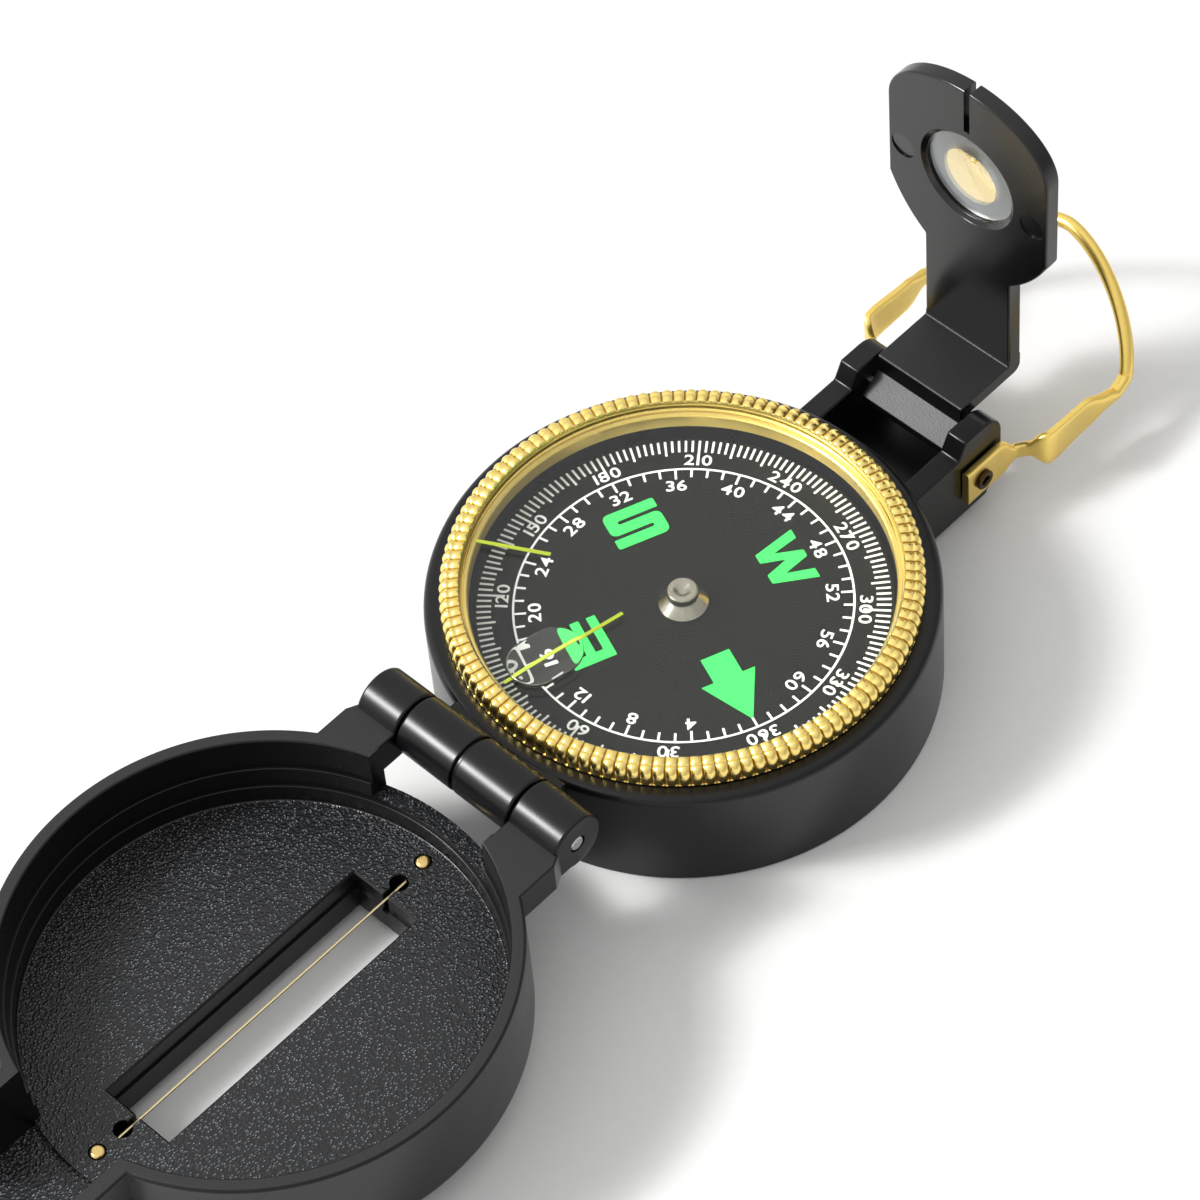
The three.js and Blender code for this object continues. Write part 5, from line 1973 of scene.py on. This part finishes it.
@dataclass
class ThumbLoop:
    """Plated wire, flattened into tabs and leaves at both ends and bent up into a bow."""

    datum: Datum
    finishes: Finishes
    tab_x: float = 9.7
    wire: float = 1.6
    flat: float = 0.9
    tab_front: float = 2.4
    tab_end: float = 3.2
    tab_width: float = 5.1
    tab_square: float = 8
    neck_start: float = 5.2
    neck_end: float = 6.2
    neck_width: float = 1.9
    neck_out: float = 1.1
    neck_square: float = 4
    leaf_start: float = 7.5
    leaf_end: float = 13.5
    leaf_width: float = 4.4
    leaf_out: float = 3.4
    leaf_rise: float = 0.8
    leaf_square: float = 6
    taper_length: float = 3.0
    taper_width: float = 2.3
    taper_square: float = 3
    wire_square: float = 2
    arm: float = 19.7
    arm_end: float = 18.3
    arm_rise: float = 0.5
    flare: float = 3.75
    bow_height: float = 13.0
    bow_round: float = 1.6
    bow_start: float = 0.04
    bow_steps: int = 40
    lift: float = 60.0
    hole: float = 0.87
    corners: int = 24
    smooth_steps: int = 5
    smooth_share: float = 0.6

    def arm_stations(self, side: int) -> list[Station]:
        """Tab, neck, leaf and the start of the round wire along one arm.

        Args:
            side: -1 on the left, 1 on the right.

        Returns:
            The stations, from the tab on.
        """
        taper = self.leaf_end + self.taper_length
        thick = (self.flat + self.wire) / 2
        half_out = self.neck_out / 2
        leaf_in = self.neck_out + half_out
        rows = [
            (-self.tab_front, 0, 0, self.tab_width, self.flat, self.tab_square),
            (self.tab_end, 0, 0, self.tab_width, self.flat, self.tab_square),
            (self.neck_start, half_out, 0, self.neck_width, self.flat, self.neck_square),
            (self.neck_end, leaf_in, self.leaf_rise / 2, self.neck_width, self.flat, self.neck_square),
            (self.leaf_start, self.leaf_out, self.leaf_rise, self.tab_width, self.flat, self.leaf_square),
            (self.leaf_end, self.leaf_out, self.leaf_rise, self.leaf_width, self.flat, self.leaf_square),
            (taper, self.flare, self.leaf_rise, self.taper_width, thick, self.taper_square),
            (self.arm_end, self.flare, self.arm_rise, self.wire, self.wire, self.wire_square),
        ]
        return [
            Station(Vector((side * (self.tab_x + out), y, rise)), *sizes)
            for y, out, rise, *sizes in rows
        ]

    def bow(self) -> list[Station]:
        """Round wire from one arm's bend over to the other's.

        Returns:
            The stations, from right to left.
        """
        lift = math.radians(self.lift)
        half = self.tab_x + self.flare
        power = 2 / self.bow_round
        stations = []
        for i in range(self.bow_steps + 1):
            angle = math.pi * (self.bow_start + (1 - 2 * self.bow_start) * i / self.bow_steps)
            height = self.bow_height * math.sin(angle) ** power
            centre = Vector((
                half * math.copysign(abs(math.cos(angle)) ** power, math.cos(angle)),
                self.arm + height * math.cos(lift),
                self.arm_rise + height * math.sin(lift),
            ))
            stations.append(Station(centre, self.wire, self.wire, self.wire_square))
        return stations

    def ring(self, stations: list[Station], i: int) -> list[Point3]:
        """Section of the wire at a station, its width upright.

        Args:
            stations: every station, in order.
            i: the station's number.

        Returns:
            The section's points in the part's frame.
        """
        here = stations[i]
        before = stations[max(0, i - 1)].centre
        after = stations[min(len(stations) - 1, i + 1)].centre
        along = (after - before).normalized()
        up = (Vector((0, 0, 1)) - along * along.z).normalized()
        across = along.cross(up)
        origin = Vector((0, *self.datum.loop))
        power = 2 / here.squareness
        ring = []
        for k in range(self.corners):
            angle = 2 * math.pi * (k + 0.5) / self.corners
            high = math.copysign(abs(math.cos(angle)) ** power, math.cos(angle))
            wide = math.copysign(abs(math.sin(angle)) ** power, math.sin(angle))
            place = origin + here.centre + up * (high * here.width / 2) + across * (wide * here.thickness / 2)
            ring.append(tuple(place))
        return ring

    def smoothed(self, stations: list[Station]) -> list[Station]:
        """More stations on a smooth line through the given ones.

        Args:
            stations: the given stations, in order.

        Returns:
            The stations on the smooth line.
        """
        made = []
        for i in range(len(stations) - 1):
            before = stations[max(0, i - 1)]
            here = stations[i]
            after = stations[i + 1]
            beyond = stations[min(len(stations) - 1, i + 2)]
            for k in range(self.smooth_steps):
                t = k / self.smooth_steps
                ease = t * t * (3 - 2 * t)
                chord = here.centre.lerp(after.centre, t)
                curve = 0.5 * (
                    2 * here.centre + (after.centre - before.centre) * t
                    + (2 * before.centre - 5 * here.centre + 4 * after.centre - beyond.centre) * t ** 2
                    + (3 * here.centre - before.centre - 3 * after.centre + beyond.centre) * t ** 3
                )
                made.append(Station(
                    chord.lerp(curve, self.smooth_share),
                    here.width + (after.width - here.width) * ease,
                    here.thickness + (after.thickness - here.thickness) * ease,
                    here.squareness + (after.squareness - here.squareness) * ease,
                ))
        made.append(stations[-1])
        return made

    def build(self) -> None:
        """Makes the loop, drilled for its rivets."""
        path = self.smoothed([*self.arm_stations(1), *self.bow(), *reversed(self.arm_stations(-1))])
        mesh = skin([self.ring(path, i) for i in range(len(path))], looped=False)
        wide = 2 * (self.tab_x + self.flare)
        drill = rod(self.hole, (-wide, wide), Flats.ROD, Axis.X, (0, *self.datum.loop))
        mesh = fused(mesh, [drill], Fuse.CUT)
        piece("thumb_loop_bent", mesh, [self.finishes.soft_gold], Body.LOOP, ("thumb_loop",))


@dataclass(frozen=True)
class Lamp:
    """Square soft light: its place and side in millimetres, its power in watts."""

    name: str
    place: Point3
    size: float
    power: float


@dataclass
class Studio:
    """Pale floor, soft lights and the camera at the photograph's angle.

    Lengths are in millimetres and angles in degrees. key_side points at the brightest sky, and the sky
    is dimmest where a direction's cosine with it is dim_side or less.
    """

    finishes: Finishes
    target: Point3 = (-13.2, 0.06, 0.5)
    distance: float = 533.8
    azimuth: float = 48.09
    elevation: float = 52.78
    roll: float = 5.75
    focal: float = 146.97
    sensor: float = 36.0
    clip_start: float = 10.0
    floor_size: float = 4000.0
    floor_depth: float = 2.0
    lamps: tuple[Lamp, ...] = (
        Lamp("key_left", (-400, -500, 520), 220, 6.5),
        Lamp("key_core", (-400, -500, 520), 80, 2.5),
    )
    lamp_aim: Point3 = (0, -20, 0)
    key_side: Point3 = (-0.45, -0.35, 0.82)
    dim_side: float = -0.5
    dim: float = 0.5
    bright: float = 1.1

    def camera(self) -> None:
        """Camera at the photograph's place, turned by its roll."""
        azimuth = math.radians(self.azimuth)
        elevation = math.radians(self.elevation)
        roll = math.radians(self.roll)
        back = Vector((
            math.sin(azimuth) * math.cos(elevation),
            -math.cos(azimuth) * math.cos(elevation),
            math.sin(elevation),
        ))
        right = Vector((math.cos(azimuth), math.sin(azimuth), 0))
        up = back.cross(right)
        level = math.cos(roll) * right - math.sin(roll) * up
        plumb = math.sin(roll) * right + math.cos(roll) * up
        place = (Vector(self.target) + back * self.distance) * MM
        data = bpy.data.cameras.new("camera")
        data.lens = self.focal
        data.sensor_width = self.sensor
        data.clip_start = self.clip_start * MM
        item = linked("camera", data)
        turn = Matrix((level, plumb, back)).transposed()
        item.matrix_world = Matrix.Translation(place) @ turn.to_4x4()
        bpy.context.scene.camera = item

    def floor(self) -> None:
        """Wide pale matt floor."""
        half = self.floor_size / 2
        mesh = drawn(oblong(half, half), -self.floor_depth, 0.0, Axis.Z)
        mesh.materials.append(self.finishes.paper)
        item = linked("floor", mesh)

    def light(self, lamp: Lamp) -> None:
        """Sets up a lamp that looks at the compass.

        Args:
            lamp: the lamp.
        """
        data = bpy.data.lights.new(lamp.name, "AREA")
        data.size = lamp.size * MM
        data.energy = lamp.power
        item = linked(lamp.name, data)
        place = Vector(lamp.place)
        item.location = place * MM
        item.rotation_euler = (Vector(self.lamp_aim) - place).to_track_quat("-Z", "Y").to_euler()
        # Lamp light reaches the dial straight through the crystal, so bent rays needn't find the lamp
        item.visible_transmission = False

    def sky(self) -> None:
        """White surround, brightest towards the key light."""
        world = bpy.data.worlds.new("surround")
        world.use_nodes = True
        tree = world.node_tree
        tree.nodes.clear()
        look = add(tree, "ShaderNodeTexCoord").outputs["Generated"]
        facing = add(tree, "ShaderNodeVectorMath", {"operation": "DOT_PRODUCT", 1: self.key_side}, {0: look})
        level = add(tree, "ShaderNodeMapRange",
                    {"interpolation_type": "SMOOTHSTEP", "From Min": self.dim_side,
                     "To Min": self.dim, "To Max": self.bright},
                    {"Value": facing.outputs["Value"]})
        back = add(tree, "ShaderNodeBackground", {"Color": (1.0, 1.0, 1.0, 1.0)},
                   {"Strength": level.outputs["Result"]})
        add(tree, "ShaderNodeOutputWorld", None, {"Surface": back.outputs["Background"]})
        bpy.context.scene.world = world

    def build(self) -> None:
        """Sets the floor, the lights and the camera."""
        bpy.context.scene.view_settings.view_transform = "Standard"
        self.floor()
        self.sky()
        for lamp in self.lamps:
            self.light(lamp)
        self.camera()


def dress_solids(frame: dict, finishes: Finishes) -> None:
    """Gives the finishes to the solids that stay in sight.

    Args:
        frame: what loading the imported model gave.
        finishes: the finishes.
    """
    worn = {
        "pivot_needle": finishes.steel,
        "bezel_snap_ring": finishes.steel,
        "eyepiece_pin": finishes.steel,
        "long_index_line": finishes.lime,
        "short_index_line": finishes.lime,
        "pivot_jewel": finishes.ruby,
        "dial_magnet": finishes.ferrite,
        "sighting_wire": finishes.wire,
    }
    for name, material in worn.items():
        mesh = frame["nodes"][name].data
        mesh.materials.clear()
        mesh.materials.append(material)
        log.info("%s: finish %s", name, material.name)


def main() -> None:
    """Builds the compass over its frame."""
    logging.basicConfig(level=logging.INFO, format="%(name)s: %(message)s")
    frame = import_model()
    datum = Datum.read(frame)
    finishes = Finishes()
    dress_solids(frame, finishes)
    dial = Dial(finishes)
    parts = [
        BaseCase(datum, finishes),
        Bezel(finishes),
        dial,
        DialCap(finishes, dial.top),
        Cover(datum, finishes),
        Eyepiece(datum, finishes),
        ThumbLoop(datum, finishes),
        Studio(finishes),
    ]
    for part in parts:
        part.build()


if __name__ == "__main__":
    main()
